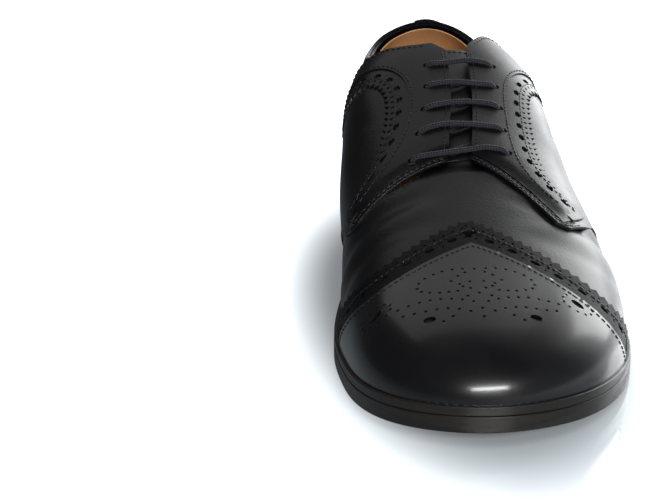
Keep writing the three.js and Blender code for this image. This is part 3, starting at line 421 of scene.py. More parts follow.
def cut_piece(name, outline, place, thickness, holes=(), cell=2.5, round_edge=0.25, segments=2,
              both_rims=False):
    """A piece of sheet: cut flat, given its thickness and rounded edges, then carried to its place.
    Its cut edges take the second material."""
    spots, faces = flat_sheet(outline, holes, cell)
    mesh = bpy.data.meshes.new(name)
    mesh.from_pydata([(x, y, 0) for x, y in spots], [], faces.tolist())
    bm = bmesh.new()
    bm.from_mesh(mesh)
    loose = [v for v in bm.verts if not v.link_faces]
    bmesh.ops.delete(bm, geom=loose, context="VERTS")
    bmesh.ops.recalc_face_normals(bm, faces=bm.faces)
    if sum(f.normal.z for f in bm.faces) < 0:
        bmesh.ops.reverse_faces(bm, faces=bm.faces)
    lower = bm.faces[:]
    grown = bmesh.ops.extrude_face_region(bm, geom=lower, use_keep_orig=True)
    upper = [v for v in grown["geom"] if isinstance(v, bmesh.types.BMVert)]
    bmesh.ops.translate(bm, verts=upper, vec=(0, 0, 1))
    bmesh.ops.recalc_face_normals(bm, faces=bm.faces)
    bm.normal_update()
    if round_edge:
        rim = [
            e for e in bm.edges
            if len(e.link_faces) == 2 and (both_rims or all(v.co.z > 0.5 for v in e.verts))
            and abs(e.link_faces[0].normal.z - e.link_faces[1].normal.z) > 0.5
        ]
        bmesh.ops.scale(bm, verts=bm.verts, vec=(1, 1, thickness))
        bmesh.ops.bevel(
            bm, geom=rim, offset=round_edge, offset_type="OFFSET", segments=segments, profile=0.5,
            affect="EDGES", clamp_overlap=True, material=-1,
        )
    else:
        bmesh.ops.scale(bm, verts=bm.verts, vec=(1, 1, thickness))
    bmesh.ops.recalc_face_normals(bm, faces=bm.faces)
    bm.normal_update()
    for face in bm.faces:
        face.material_index = int(abs(face.normal.z) < 0.6)
    for edge in bm.edges:
        edge.smooth = len(edge.link_faces) == 2 and edge.calc_face_angle() < 0.9
    bm.to_mesh(mesh)
    bm.free()
    co = np.zeros(len(mesh.vertices) * 3)
    mesh.vertices.foreach_get("co", co)
    co = co.reshape(-1, 3)
    mesh.vertices.foreach_set("co", (place(co[:, :2], co[:, 2]) * MM + TO_FRAME).ravel())
    mesh.polygons.foreach_set("use_smooth", [True] * len(mesh.polygons))
    mesh.update()
    return add_piece(name, mesh)


def add_piece(name, mesh):
    piece = bpy.data.objects.new(name, mesh)
    bpy.context.scene.collection.objects.link(piece)
    weighted = piece.modifiers.new("even_shading", "WEIGHTED_NORMAL")
    weighted.keep_sharp = True
    weighted.weight = 60
    return piece


def plan_place(low):
    """Places a flat sheet in the bottom, bent to the ground clearance."""
    return lambda spots, z: np.stack([spots[:, 0], spots[:, 1], ground_clearance(spots[:, 1]) + low + z], 1)


def make_group(name, inputs, outputs):
    group = bpy.data.node_groups.new(name, "ShaderNodeTree")
    for label, kind, value in inputs:
        made = group.interface.new_socket(label, in_out="INPUT", socket_type="NodeSocket" + kind)
        made.default_value = value
    for label, kind in outputs:
        group.interface.new_socket(label, in_out="OUTPUT", socket_type="NodeSocket" + kind)
    return group


# Hide grain: fine pores and longer wrinkles as a height, and a slow mottle for colour and gloss.
hide_grain = make_group(
    "hide_grain",
    [("Pore Scale", "Float", 1400.0), ("Mottle Scale", "Float", 45.0),
     ("Stretch", "Vector", (1.0, 1.0, 1.0))],
    [("Height", "Float"), ("Mottle", "Float")],
)
g_in, g_out = hide_grain.nodes.new("NodeGroupInput"), hide_grain.nodes.new("NodeGroupOutput")
g_object = grow(hide_grain, "TexCoord")
g_place = grow(hide_grain, "VectorMath", {
    0: g_object.outputs["Object"], 1: g_in.outputs["Stretch"]}, operation="MULTIPLY")
g_pores = grow(hide_grain, "TexVoronoi", {
    "Smoothness": 0.35, "Randomness": 1.0, "Vector": g_place.outputs["Vector"],
    "Scale": g_in.outputs["Pore Scale"]}, feature="SMOOTH_F1")
g_fibre = grow(hide_grain, "TexNoise", {
    "Scale": 900.0, "Detail": 4.0, "Roughness": 0.6, "Vector": g_place.outputs["Vector"]})
g_height = grow(hide_grain, "Math", {
    0: g_pores.outputs["Distance"], 1: 0.6, 2: g_fibre.outputs["Fac"]}, operation="MULTIPLY_ADD")
g_mottle = grow(hide_grain, "TexNoise", {
    "Detail": 5.0, "Roughness": 0.55, "Distortion": 0.4, "Vector": g_place.outputs["Vector"],
    "Scale": g_in.outputs["Mottle Scale"]})
hide_grain.links.new(g_height.outputs[0], g_out.inputs["Height"])
hide_grain.links.new(g_mottle.outputs["Fac"], g_out.inputs["Mottle"])


def finish_of(name, dark, light, rough, bump, coat=0.0, coat_rough=0.1, pores=1400.0, mottle=45.0, metal=0.0,
              stretch=(1, 1, 1), specular=0.5):
    """A material with hide grain: its colour and gloss vary between two values with the mottle."""
    made = bpy.data.materials.new(name)
    made.use_nodes = True
    tree = made.node_tree
    shader = tree.nodes["Principled BSDF"]
    grain = tree.nodes.new("ShaderNodeGroup")
    grain.node_tree = hide_grain
    grain.inputs["Pore Scale"].default_value = pores
    grain.inputs["Mottle Scale"].default_value = mottle
    grain.inputs["Stretch"].default_value = stretch
    colour = grow(tree, "ValToRGB", {"Fac": grain.outputs["Mottle"]})
    colour.color_ramp.elements[0].position = 0.3
    colour.color_ramp.elements[1].position = 0.7
    colour.color_ramp.elements[0].color = (*dark, 1)
    colour.color_ramp.elements[1].color = (*light, 1)
    gloss = grow(tree, "MapRange", {
        "From Min": 0.3, "From Max": 0.7, "To Min": rough[0], "To Max": rough[1],
        "Value": grain.outputs["Mottle"]})
    relief = grow(tree, "Bump", {"Strength": bump, "Distance": 0.0002, "Height": grain.outputs["Height"]})
    tree.links.new(colour.outputs["Color"], shader.inputs["Base Color"])
    tree.links.new(gloss.outputs["Result"], shader.inputs["Roughness"])
    tree.links.new(relief.outputs["Normal"], shader.inputs["Normal"])
    shader.inputs["Coat Weight"].default_value = coat
    shader.inputs["Coat Roughness"].default_value = coat_rough
    shader.inputs["Metallic"].default_value = metal
    shader.inputs["Specular IOR Level"].default_value = specular
    return made


def dress(piece, material, body, slot, *nodes):
    piece.data.materials.append(material)
    piece.data.materials.append(edge_look.get(material.name, material))
    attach(piece, body)
    if nodes:
        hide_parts(*nodes)
    return piece


edge_look = {}
edge_ink = finish_of("sole_edge_ink", (0.008, 0.007, 0.006), (0.022, 0.018, 0.015), (0.3, 0.46), 0.14,
                     coat=0.05, coat_rough=0.25, pores=260.0, mottle=60.0, stretch=(0.35, 0.35, 7))
outsole = cut_piece("outsole_leather", plan_edge, plan_place(0), OUTSOLE_THICKNESS, cell=6, round_edge=0.5,
                    segments=3, both_rims=True)
dress(outsole, edge_ink, "shoe", "sole_edge", "outsole")

# ---------------------------------------------------------------- welt and heel rand
# The welt is a strip of leather sewn round the upper's foot from one side of the heel breast to the
# other, and the rand carries it on round the heel. Both are cut from sheet and lie on the outsole.
WELT_UNDERLAP = 5
HEEL_BREAST = 214
WELT_END = HEEL_BREAST + 2


def feather_share(station, sign):
    """Share of the way round the feather line where it passes a station on one side."""
    x, y = feather_points.T
    away = np.abs(y - station) + np.where(x * sign > 0, 0, 1e6)
    return np.argmin(away) / len(feather_points)


lateral_breast, medial_breast = feather_share(WELT_END, 1), feather_share(WELT_END, -1)
WELT_LOW = OUTSOLE_THICKNESS + 0.05
WELT_HEIGHT = WELT_THICKNESS + 0.25
for name, start, end, node in [
    ("welt_strip", lateral_breast + 0.0004, medial_breast - 0.0004, "welt"),
    ("heel_rand_strip", medial_breast, lateral_breast + 1, "heel_rand"),
]:
    outer = offset_feather(lambda y: welt_edge(y) - 0.1, start, end)
    inner = offset_feather(lambda y: np.full_like(y, -WELT_UNDERLAP), start, end)
    strip = cut_piece(name, np.concatenate([outer, inner[::-1]]), plan_place(WELT_LOW), WELT_HEIGHT,
                      cell=3, round_edge=0.5, segments=3, both_rims=True)
    dress(strip, edge_ink, "shoe", "sole_edge", node)


def measured(line, step, start=0.0, end=0.0):
    """Points an even step apart along a line, and the direction there."""
    run = np.concatenate([[0], np.cumsum(np.hypot(*np.diff(line, axis=0).T))])
    count = max(1, int(round((run[-1] - start - end) / step)))
    at = np.linspace(start, run[-1] - end, count + 1)
    spots = np.stack([np.interp(at, run, line[:, 0]), np.interp(at, run, line[:, 1])], 1)
    ahead = np.stack([np.interp(at + 0.4, run, line[:, 0]) - np.interp(at - 0.4, run, line[:, 0]),
                      np.interp(at + 0.4, run, line[:, 1]) - np.interp(at - 0.4, run, line[:, 1])], 1)
    ahead /= np.maximum(np.linalg.norm(ahead, axis=1, keepdims=True), 1e-9)
    return spots, ahead


def add_mesh(name, verts, faces):
    """A piece from points in millimetres from the toe's tip, with its faces turned outwards."""
    mesh = bpy.data.meshes.new(name)
    mesh.from_pydata((np.asarray(verts).reshape(-1, 3) * MM + TO_FRAME).tolist(), [], faces)
    bm = bmesh.new()
    bm.from_mesh(mesh)
    bmesh.ops.recalc_face_normals(bm, faces=bm.faces)
    bm.to_mesh(mesh)
    bm.free()
    mesh.polygons.foreach_set("use_smooth", [True] * len(mesh.polygons))
    return add_piece(name, mesh)


def skin_rings(centre, up, radii, sides):
    """Points of rings round a line, and the line's direction at each ring."""
    along = np.gradient(centre, axis=-2)
    along /= np.linalg.norm(along, axis=-1, keepdims=True)
    across = np.cross(along, up)
    across /= np.linalg.norm(across, axis=-1, keepdims=True)
    upright = np.cross(across, along)
    angle = 2 * math.pi * np.arange(sides) / sides
    out = np.cos(angle)[:, None] * across[..., None, :] + np.sin(angle)[:, None] * upright[..., None, :]
    return centre[..., None, :] + np.asarray(radii)[..., None, None] * out


def tube_faces(rings, sides, first=0):
    faces = [
        (first + r * sides + i, first + r * sides + (i + 1) % sides,
         first + (r + 1) * sides + (i + 1) % sides, first + (r + 1) * sides + i)
        for r in range(rings - 1) for i in range(sides)
    ]
    faces.append(tuple(first + i for i in reversed(range(sides))))
    faces.append(tuple(first + (rings - 1) * sides + i for i in range(sides)))
    return faces


STITCH_SHARE = 0.78  # of the pitch; the rest is the gap
STITCH_SHAPE = np.array([0.0, 0.16, 0.5, 0.84, 1.0])
STITCH_BOW = np.array([-0.7, 0.3, 0.5, 0.3, -0.7])
STITCH_TAPER = np.array([0.45, 0.9, 1.0, 0.9, 0.45])
thread_look = finish_of("waxed_thread", (0.010, 0.010, 0.011), (0.022, 0.022, 0.023), (0.3, 0.42), 0.3,
                        pores=2600.0)


def sew(name, lines, place, body="shoe", pitch=2.3, thread=0.24):
    """Rows of stitches: short lengths of waxed thread that come up out of a piece and go down again."""
    verts, faces = [], []
    for line in lines:
        spots, _ = measured(np.asarray(line, float), pitch)
        span = np.diff(spots, axis=0)
        start = spots[:-1] + span * (1 - STITCH_SHARE) / 2
        flat = start[:, None] + span[:, None] * STITCH_SHARE * STITCH_SHAPE[:, None]
        lift = np.tile(thread * STITCH_BOW, len(span))
        centre = place(flat.reshape(-1, 2), lift).reshape(-1, 5, 3)
        up = place(flat.reshape(-1, 2), lift + 1).reshape(-1, 5, 3) - centre
        verts.append(skin_rings(centre, up, thread * STITCH_TAPER, 6).reshape(-1, 3))
        for k in range(len(span)):
            faces += tube_faces(5, 6, sum(map(len, verts[:-1])) + k * 30)
    return dress(add_mesh(name, np.concatenate(verts), faces), thread_look, body, "lace_cotton")


# The welt stitch shows along the welt's top, a little in from its edge.
welt_row = offset_feather(lambda y: welt_edge(y) - 1.7, lateral_breast + 0.002, medial_breast - 0.002)
sew("welt_stitches", [welt_row], plan_place(WELT_LOW + WELT_HEIGHT), pitch=3.0, thread=0.42)

# ---------------------------------------------------------------- heel
# Three lifts of stacked leather and a rubber top piece, each a touch smaller than the one above, with
# a hollow breast at the front. Brass nails hold the top piece.
HEEL_TAPER = 0.4
BREAST_BOW = 4
TOP_PIECE_THICKNESS = 5.5
LIFT_THICKNESS = 4
NAIL_SETBACK = 13
NAIL_HOLE = 1.4


def ring(x, y, radius, sides, stretch=1.0, turn=0.0):
    angle = 2 * math.pi * np.arange(sides) / sides
    px, py = radius * stretch * np.cos(angle), radius * np.sin(angle)
    cos, sin = math.cos(turn), math.sin(turn)
    return np.stack([x + px * cos - py * sin, y + px * sin + py * cos], 1)


nail_turns = [math.radians(a) for a in (-64, -32, 0, 32, 64)]
nail_spots = [
    (crest_line(HEEL_FAN) + (np.interp(t, *heel_radii) - NAIL_SETBACK) * math.sin(t),
     HEEL_FAN + (np.interp(t, *heel_radii) - NAIL_SETBACK) * math.cos(t))
    for t in nail_turns
]
nail_holes = [ring(x, y, NAIL_HOLE, 16) for x, y in nail_spots]


def heel_outline(level):
    outer = offset_feather(
        lambda y: welt_edge(y) - HEEL_TAPER * (1 + level), medial_breast - 0.01, lateral_breast + 1.01)
    outer = outer[outer[:, 1] > HEEL_BREAST + 0.5]
    t = np.linspace(0, 1, 24)[:, None]
    corners = [outer[-1], np.array([0, HEEL_BREAST + 2 * BREAST_BOW]), outer[0]]
    bow = corners[0] * (1 - t) ** 2 + corners[1] * 2 * t * (1 - t) + corners[2] * t**2
    return np.concatenate([outer, bow[1:-1]])


stack_ink = finish_of("heel_stack_leather", (0.008, 0.006, 0.005), (0.026, 0.018, 0.013), (0.3, 0.45), 0.14,
                      coat=0.1, coat_rough=0.25, pores=260.0, mottle=60.0, stretch=(0.35, 0.35, 7))
heel_rubber = finish_of("heel_rubber", (0.012, 0.012, 0.013), (0.022, 0.022, 0.023), (0.6, 0.8), 0.5,
                        pores=500.0)
stack_from = TOP_PIECE_THICKNESS
heel_layers = [
    ("heel_top_rubber", "heel_top_piece", 3, 0, TOP_PIECE_THICKNESS, heel_rubber, "top_piece_rubber"),
]
for level in (2, 1):
    low = stack_from + LAYER_GAP
    heel_layers.append((f"heel_stack_{level + 1}", f"heel_lift_{level + 1}", level, low, LIFT_THICKNESS,
                        stack_ink, "heel_stack"))
    stack_from = low + LIFT_THICKNESS
for name, node, level, low, thick, look, slot in heel_layers:
    layer = cut_piece(
        name, heel_outline(level), lambda spots, z, low=low: np.column_stack([spots, low + z]), thick + 0.2,
        holes=nail_holes, cell=5, round_edge=0.4, both_rims=True,
    )
    dress(layer, look, "shoe", slot, node)


def top_lift_place(spots, z):
    low = stack_from + LAYER_GAP
    return np.column_stack([spots, low + z * (ground_clearance(spots[:, 1]) - 0.02 - low)])


top_lift = cut_piece("heel_stack_1", heel_outline(0), top_lift_place, 1.0, cell=5, round_edge=0.08)
dress(top_lift, stack_ink, "shoe", "heel_stack", "heel_lift_1")

# ---------------------------------------------------------------- pattern lines
# The upper's pattern lies on the last like graph paper: x is the length across from the crest, y the
# station. Lines are drawn on it as smooth curves, and the feather line bounds it.
OVERRUN = 1.2


def curve(points, step=1.0):
    """A smooth line through points, about a step between its own points."""
    points = np.asarray(points, float)
    run = np.concatenate([[0], np.cumsum(np.hypot(*np.diff(points, axis=0).T))])
    if len(points) == 2:
        at = np.linspace(0, run[-1], max(2, int(run[-1] / step) + 1))
        return points[0] + (points[1] - points[0]) * (at / run[-1])[:, None]
    x, y = through(np.stack([run, points[:, 0]], 1)), through(np.stack([run, points[:, 1]], 1))
    at = np.linspace(0, run[-1], max(2, int(run[-1] / step) + 1))
    return np.stack([x(at), y(at)], 1)


def beside(line, distance):
    """A line moved sideways, to the left of its own direction."""
    spots, ahead = measured(line, 1.0)
    return spots + np.stack([-ahead[:, 1], ahead[:, 0]], 1) * np.broadcast_to(distance, len(spots))[:, None]


def gimped(line, pitch, depth, side):
    """A pinked edge: pointed teeth along a line."""
    spots, ahead = measured(line, pitch / 4)
    tooth = np.array([0.0, 0.42, 1.0, 0.42])[np.arange(len(spots)) % 4]
    return spots + np.stack([-ahead[:, 1], ahead[:, 0]], 1) * (side * depth * tooth)[:, None]


def from_fan(points):
    points = np.asarray(points, float)
    station = np.clip(points[:, 1], TOE_FAN, HEEL_FAN)
    return points, station, np.hypot(points[:, 0], points[:, 1] - station)


def past_feather(points, overrun=OVERRUN):
    points, station, size = from_fan(points)
    reach = girth(points[:, 0], points[:, 1]) + overrun
    return np.stack([points[:, 0] / size * reach, station + (points[:, 1] - station) / size * reach], 1)


def over_last(line):
    """The stretch of a line up to where it leaves over the feather line."""
    points, station, size = from_fan(line)
    off = np.where(size > girth(points[:, 0], points[:, 1]) + OVERRUN - 0.5)[0]
    return points[:off[0]] if len(off) else points


SIDE_RUN = HEEL_FAN - TOE_FAN
HEEL_BACK = SIDE_RUN + 90


def place_of(point):
    """How far along one side's feather line a rib ends: degrees, then stations, then degrees."""
    x, y = abs(point[0]), point[1]
    if y < TOE_FAN:
        return math.degrees(math.atan2(x, TOE_FAN - y)) - 90
    if y > HEEL_FAN:
        return SIDE_RUN + 90 - math.degrees(math.atan2(x, y - HEEL_FAN))
    return y - TOE_FAN


def fan_point(station, sign, degrees):
    return math.sin(math.radians(degrees)), station + sign * math.cos(math.radians(degrees))


def along_feather(side, start, end, step=1.5, overrun=OVERRUN):
    steps = max(2, int(abs(end - start) / step))
    spots = []
    for place in np.linspace(start, end, steps + 1):
        if place < 0:
            spots.append(fan_point(TOE_FAN, -1, side * max(90 + place, 0.01)))
        elif place > SIDE_RUN:
            spots.append(fan_point(HEEL_FAN, 1, side * max(90 + SIDE_RUN - place, 0.01)))
        else:
            spots.append((side, TOE_FAN + place))
    return past_feather(spots, overrun)


def drop_to(points, heights):
    """Pattern points down the ribs through points, where the last falls to the heights."""
    points, station, size = from_fan(points)
    unit = np.stack([points[:, 0], points[:, 1] - station], 1) / size[:, None]
    near, far = np.zeros(len(points)), girth(points[:, 0], points[:, 1])
    for _ in range(22):
        middle = (near + far) / 2
        z = last_points(unit[:, 0] * middle, station + unit[:, 1] * middle)[:, 2]
        near = np.where(z > heights, middle, near)
        far = np.where(z > heights, far, middle)
    return np.stack([unit[:, 0] * near, station + unit[:, 1] * near], 1)


QUARTER_LIFT = 1.75
LINING_LIFT = 2.4
TONGUE_DROP = 4.1


def over_vamp(x, y):
    front = 1 - smoothstep(y, 162, 192)
    return np.maximum(front, (1 - smoothstep(np.abs(x), 34, 56)) * (1 - smoothstep(y, 226, 250)))


FRONT_EDGE = [
    (-100, 157), (-86, 152), (-74, 147), (-62, 139), (-54, 128.5), (-47, 121), (-34, 123.5), (-20, 127),
    (-3, 131), (12, 121), (23, 109.5), (34, 96.5), (44, 108.5), (52, 116), (64, 126), (78, 134), (96, 142),
]


def from_front_edge(spots):
    """Distance of pattern points from the quarters' front edge."""
    edge = np.array(FRONT_EDGE, float)
    start, span = edge[:-1], np.diff(edge, axis=0)
    offset = spots[:, None] - start[None]
    share = np.clip((offset * span).sum(2) / (span**2).sum(1), 0, 1)
    return np.linalg.norm(offset - share[..., None] * span, axis=2).min(1)


def quarter_lift(spots):
    x, y = spots[:, 0], spots[:, 1]
    drawn_in = 0.55 * (1 - smoothstep(from_front_edge(spots), 1, 14))
    return np.maximum((QUARTER_LIFT - drawn_in) * over_vamp(x, y), 1.3 * smoothstep(y, 230, 248))


def lining_lift(spots):
    drawn_in = 0.1 * (1 - smoothstep(from_front_edge(spots), 1, 14))
    return (LINING_LIFT - drawn_in) * over_vamp(spots[:, 0], spots[:, 1])


def facing_lift(spots):
    """The facing is pared thin along its front edge, where it comes down over the panel's."""
    pared = 1.05 * (1 - smoothstep(from_front_edge(spots), 0.8, 5))
    return quarter_lift(spots) - pared * over_vamp(spots[:, 0], spots[:, 1])


def tongue_lift(spots):
    x, y = spots[:, 0], spots[:, 1]
    return -TONGUE_DROP * smoothstep(y, 119, 132) * (1 - smoothstep(np.abs(x), 24, 44))


def lasted(low, lift=None):
    """Places a flat sheet on the last, with its lower face at a height over it."""
    def place(spots, z):
        extra = lift(spots) if lift else 0
        return on_last(spots, low + z + extra)
    return place


# ---------------------------------------------------------------- toe cap
# The cap is polished calf over the toes in two pieces: a plain front with a medallion punched in it,
# and under its rear edge a pinked strip with one row of large holes between small ones.
LEATHER_LOW = 1.2
LEATHER_THICKNESS = 1.15
LINING_THICKNESS = 0.9
STIFFENER_THICKNESS = 0.9
STRIP_THICKNESS = 1.55
CAP_LOW = 2.2
CAP_STEP = 1.25
CAP_STRIP = 14
MEDALLION_X = -4
CAP_EDGE = {
    1: [(-3, 84.5), (13.5, 73.5), (30, 62), (47, 55.5), (60, 57.5), (74, 64)],
    -1: [(-3, 84.5), (-20, 75.5), (-37, 70), (-54, 75), (-70, 86)],
}
calf = finish_of("black_calf", (0.003, 0.003, 0.004), (0.008, 0.008, 0.009), (0.27, 0.40), 0.3,
                 coat=0.05, coat_rough=0.16, pores=1500.0, mottle=38.0, specular=0.4)
polished_calf = finish_of("polished_calf", (0.003, 0.003, 0.004), (0.007, 0.007, 0.008), (0.27, 0.36), 0.08,
                          coat=0.8, coat_rough=0.16, pores=1700.0, mottle=30.0)
cut_calf = finish_of("cut_calf_edge", (0.003, 0.003, 0.004), (0.007, 0.007, 0.008), (0.55, 0.7), 0.3,
                     pores=900.0, specular=0.2)
strip_calf = finish_of("strip_calf", (0.003, 0.003, 0.004), (0.008, 0.008, 0.009), (0.42, 0.58), 0.5,
                       pores=1000.0, specular=0.16)
edge_look["black_calf"] = edge_look["polished_calf"] = edge_look["strip_calf"] = cut_calf


def cap_line(shift):
    """Rear edge of a toe piece, moved forwards, from the inner side's feather line to the outer's."""
    halves = {}
    for side in (1, -1):
        whole = curve([(x, y - shift) for x, y in CAP_EDGE[side]], 0.8)
        halves[side] = over_last(whole)
    return np.concatenate([halves[-1][::-1], halves[1][1:]])


def in_front_of(line):
    """Outline of what lies between a cap line and the toe."""
    start, end = place_of(line[-1]), place_of(line[0])
    return np.concatenate([line, along_feather(1, start, -90)[1:], along_feather(-1, -90, end)[1:-1]])


cap_rear = cap_line(0)
cap_step = cap_line(CAP_STRIP)
strip_front = cap_line(CAP_STRIP + 5)
cap_teeth = gimped(cap_rear, 3.9, 2.3, 1)


def dots_along(line, pitch, radius, sides=8, start=2.0, end=2.0):
    spots, _ = measured(line, pitch, start, end)
    return [ring(x, y, radius, sides) for x, y in spots]


def brogue_row(line, pitch, start=4.0, end=4.0, pairs=True):
    """Large ovals along a line, with a pair of small holes between each two."""
    spots, ahead = measured(line, pitch, start, end)
    holes = []
    for (x, y), (ax, ay) in zip(spots, ahead):
        holes.append(ring(x, y, 1.1, 12, 1.7, math.atan2(ay, ax)))
    if not pairs:
        return holes
    for (x, y), (bx, by), (ax, ay) in zip(spots[:-1], spots[1:], ahead[:-1]):
        mx, my = (x + bx) / 2, (y + by) / 2
        holes.append(ring(mx - ay * 1.1, my + ax * 1.1, 0.5, 7))
        holes.append(ring(mx + ay * 1.1, my - ax * 1.1, 0.5, 7))
    return holes


apex = np.argmax(cap_rear[:, 1])
strip_holes = []
for side, half in ((1, cap_rear[apex:]), (-1, cap_rear[:apex + 1][::-1])):
    strip_holes += brogue_row(beside(half, -6.4 * side), 9.2, 6.5, 6)
    strip_holes += dots_along(beside(half, -2.1 * side), 3.9, 0.55, 7, 3.5, 6)
strip_holes.append(ring(MEDALLION_X + 0.6, CAP_EDGE[1][0][1] - 8.6, 1.3, 12))
strip_outline = np.concatenate([cap_teeth, strip_front[::-1]])
cap_strip = cut_piece("cap_strip", strip_outline, lasted(CAP_LOW, tongue_lift), STRIP_THICKNESS, strip_holes,
                      cell=1.8, round_edge=0.2)
dress(cap_strip, strip_calf, "shoe", "black_calf", "toe_cap")

# The medallion is the same on both sides of the cap's middle line: two waves of small holes, a loop
# over them, a leaf in the middle, and an oval in a ring of small holes at each side.
MEDALLION = [
    (0, 54), (4, 54.3), (7.5, 54.4), (11, 54), (14, 53), (17, 51.5), (19.2, 49.3), (20, 46.6), (18.8, 44.2),
    (16.2, 42.6), (13, 41.6), (10, 41.2), (7, 41.3), (3.4, 52), (6, 50.2), (8.6, 47.4), (6, 45.2),
    (2.4, 46.4), (2.6, 42.4), (5, 43.6), (0, 39.6), (4, 38), (2.5, 34.8), (6, 36.2), (9.5, 37.2),
    (13, 37.9), (16.5, 38.3), (20, 38.4), (23.5, 38.3), (27, 38.3), (0, 31), (4, 29.6), (7.6, 31.2),
    (11.2, 32.2), (14.8, 32.6), (18.4, 32.8), (22, 33.2), (25.6, 34), (10, 27.8), (13.2, 26), (0, 26.6),
]
RING_PLACE = (34.5, 42)
MEDALLION_OVALS = [(17.5, 28, 1.5, 1.35), (*RING_PLACE, 1.4, 1.7)]
RING_SPREAD = (5.4, 4.2)
medallion_holes = []
for sign in (1, -1):
    for dx, y in MEDALLION:
        if sign > 0 or dx:
            medallion_holes.append(ring(MEDALLION_X + sign * dx, y, 0.58, 8))
    for dx, y, radius, stretch in MEDALLION_OVALS:
        medallion_holes.append(ring(MEDALLION_X + sign * dx, y, radius, 14, stretch, -0.5 * sign * (dx > 20)))
    for k in range(11):
        turn = 2 * math.pi * k / 11
        medallion_holes.append(ring(
            MEDALLION_X + sign * (RING_PLACE[0] + RING_SPREAD[0] * math.cos(turn)),
            RING_PLACE[1] + RING_SPREAD[1] * math.sin(turn), 0.55, 8))
cap_front = cut_piece("cap_front", in_front_of(cap_step), lasted(CAP_LOW + CAP_STEP, tongue_lift),
                      LEATHER_THICKNESS, medallion_holes, cell=2.0, round_edge=0.3)
dress(cap_front, polished_calf, "shoe", "black_calf")
for name, row, high in (
    ("cap_front_stitches", cap_line(CAP_STRIP + 1.9), CAP_LOW + CAP_STEP + LEATHER_THICKNESS),
    ("cap_strip_stitches", cap_line(4.6), CAP_LOW + STRIP_THICKNESS),
):
    sew(name, [row], lasted(high, tongue_lift), pitch=2.2, thread=0.22)
puff = cut_piece("toe_stiffener", in_front_of(cap_line(14)), lasted(LEATHER_LOW), STIFFENER_THICKNESS, cell=4)
board = finish_of("stiffener_board", (0.020, 0.017, 0.014), (0.042, 0.036, 0.030), (0.8, 0.95), 0.5,
                  pores=900.0)
dress(puff, board, "shoe", "stiffener_board", "toe_puff")

# ---------------------------------------------------------------- vamp
# Smooth calf from under the cap to the laces, in one piece with the sides of the instep. Walking has
# pressed a few soft creases across it behind the cap.
VAMP_REAR = {
    1: [(15, 133), (24, 134), (42, 136), (62, 142), (80, 150), (96, 157)],
    -1: [(-15, 133), (-26, 137), (-44, 146), (-62, 154), (-82, 160), (-96, 164)],
}
CREASES = [(0.42, 92, 0.12, 5.0), (0.5, 103, -0.05, 4.0), (0.42, 113, 0.06, 5.0), (0.26, 84, -0.10, 6.0)]


def vamp_lift(spots):
    x, y = spots[:, 0], spots[:, 1]
    lift = tongue_lift(spots)
    for depth, station, slant, width in CREASES:
        middle = station + slant * x + 0.0022 * x**2 + 2.2 * np.sin(x / 17 + station)
        reach = smoothstep(np.abs(x), 8, 26) * (1 - smoothstep(np.abs(x), 52, 84))
        lift = lift - depth * reach * np.exp(-((y - middle) / width) ** 2)
        lift = lift + 0.6 * depth * reach * np.exp(-((y - middle - 1.9 * width) / width) ** 2)
    return lift


def vamp_half(side, front_place):
    rear = over_last(curve(VAMP_REAR[side], 1.5))
    return np.concatenate([rear, along_feather(side, place_of(rear[-1]), front_place)[1:]])


under_cap = cap_line(16)
lateral_half = vamp_half(1, place_of(under_cap[-1]))
medial_half = vamp_half(-1, place_of(under_cap[0]))
vamp_outline = np.concatenate([
    lateral_half, under_cap[::-1][1:-1], medial_half[::-1], curve([(-15, 133), (15, 133)], 1.5)[1:-1],
])
vamp = cut_piece("vamp_leather", vamp_outline, lasted(LEATHER_LOW, vamp_lift), LEATHER_THICKNESS, cell=2.2)
dress(vamp, calf, "shoe", "black_calf", "vamp")

tan_hide = finish_of("tan_lining", (0.56, 0.27, 0.10), (0.70, 0.38, 0.17), (0.5, 0.66), 0.3,
                     pores=1100.0, mottle=30.0)
lining_outline = np.concatenate([
    vamp_half(1, -90), vamp_half(-1, -90)[::-1][1:], curve([(-15, 133), (15, 133)], 1.5)[1:-1],
])
vamp_lining = cut_piece("vamp_lining_hide", lining_outline, lasted(0, tongue_lift), LINING_THICKNESS, cell=4)
dress(vamp_lining, tan_hide, "shoe", "tan_lining", "vamp_lining")

# ---------------------------------------------------------------- tongue
# A flap of calf under the laces with a tan lining, sewn to the vamp at its root. Its top is rounded.
TONGUE_SIDE = [(15, 133.5), (22, 146), (28, 165), (31, 190), (31, 203), (26, 211), (14, 215), (0, 216)]


def tongue_outline(inset):
    side = curve(TONGUE_SIDE, 1.5)
    lowered = np.where(np.arange(len(side)) == 0, side[:, 1], side[:, 1] - inset)
    side = np.stack([np.maximum(side[:, 0] - inset, 0), lowered], 1)
    back = side[::-1][1:] * (-1, 1)
    return np.concatenate([side, back, curve([back[-1], side[0]], 1.5)[1:-1]])


tongue = cut_piece("tongue_leather", tongue_outline(0), lasted(LEATHER_LOW, tongue_lift), LEATHER_THICKNESS,
                   cell=2.5)
dress(tongue, calf, "tongue", "black_calf", "tongue")
tongue_lining = cut_piece("tongue_lining_hide", tongue_outline(0.3), lasted(0, tongue_lift),
                          LINING_THICKNESS, cell=3)
dress(tongue_lining, tan_hide, "tongue", "tan_lining", "tongue_lining")

sew("tongue_stitches", [tongue_outline(2.4)[6:-30]],
    lasted(LEATHER_LOW + LEATHER_THICKNESS, tongue_lift),
    body="tongue", pitch=2.5, thread=0.26)

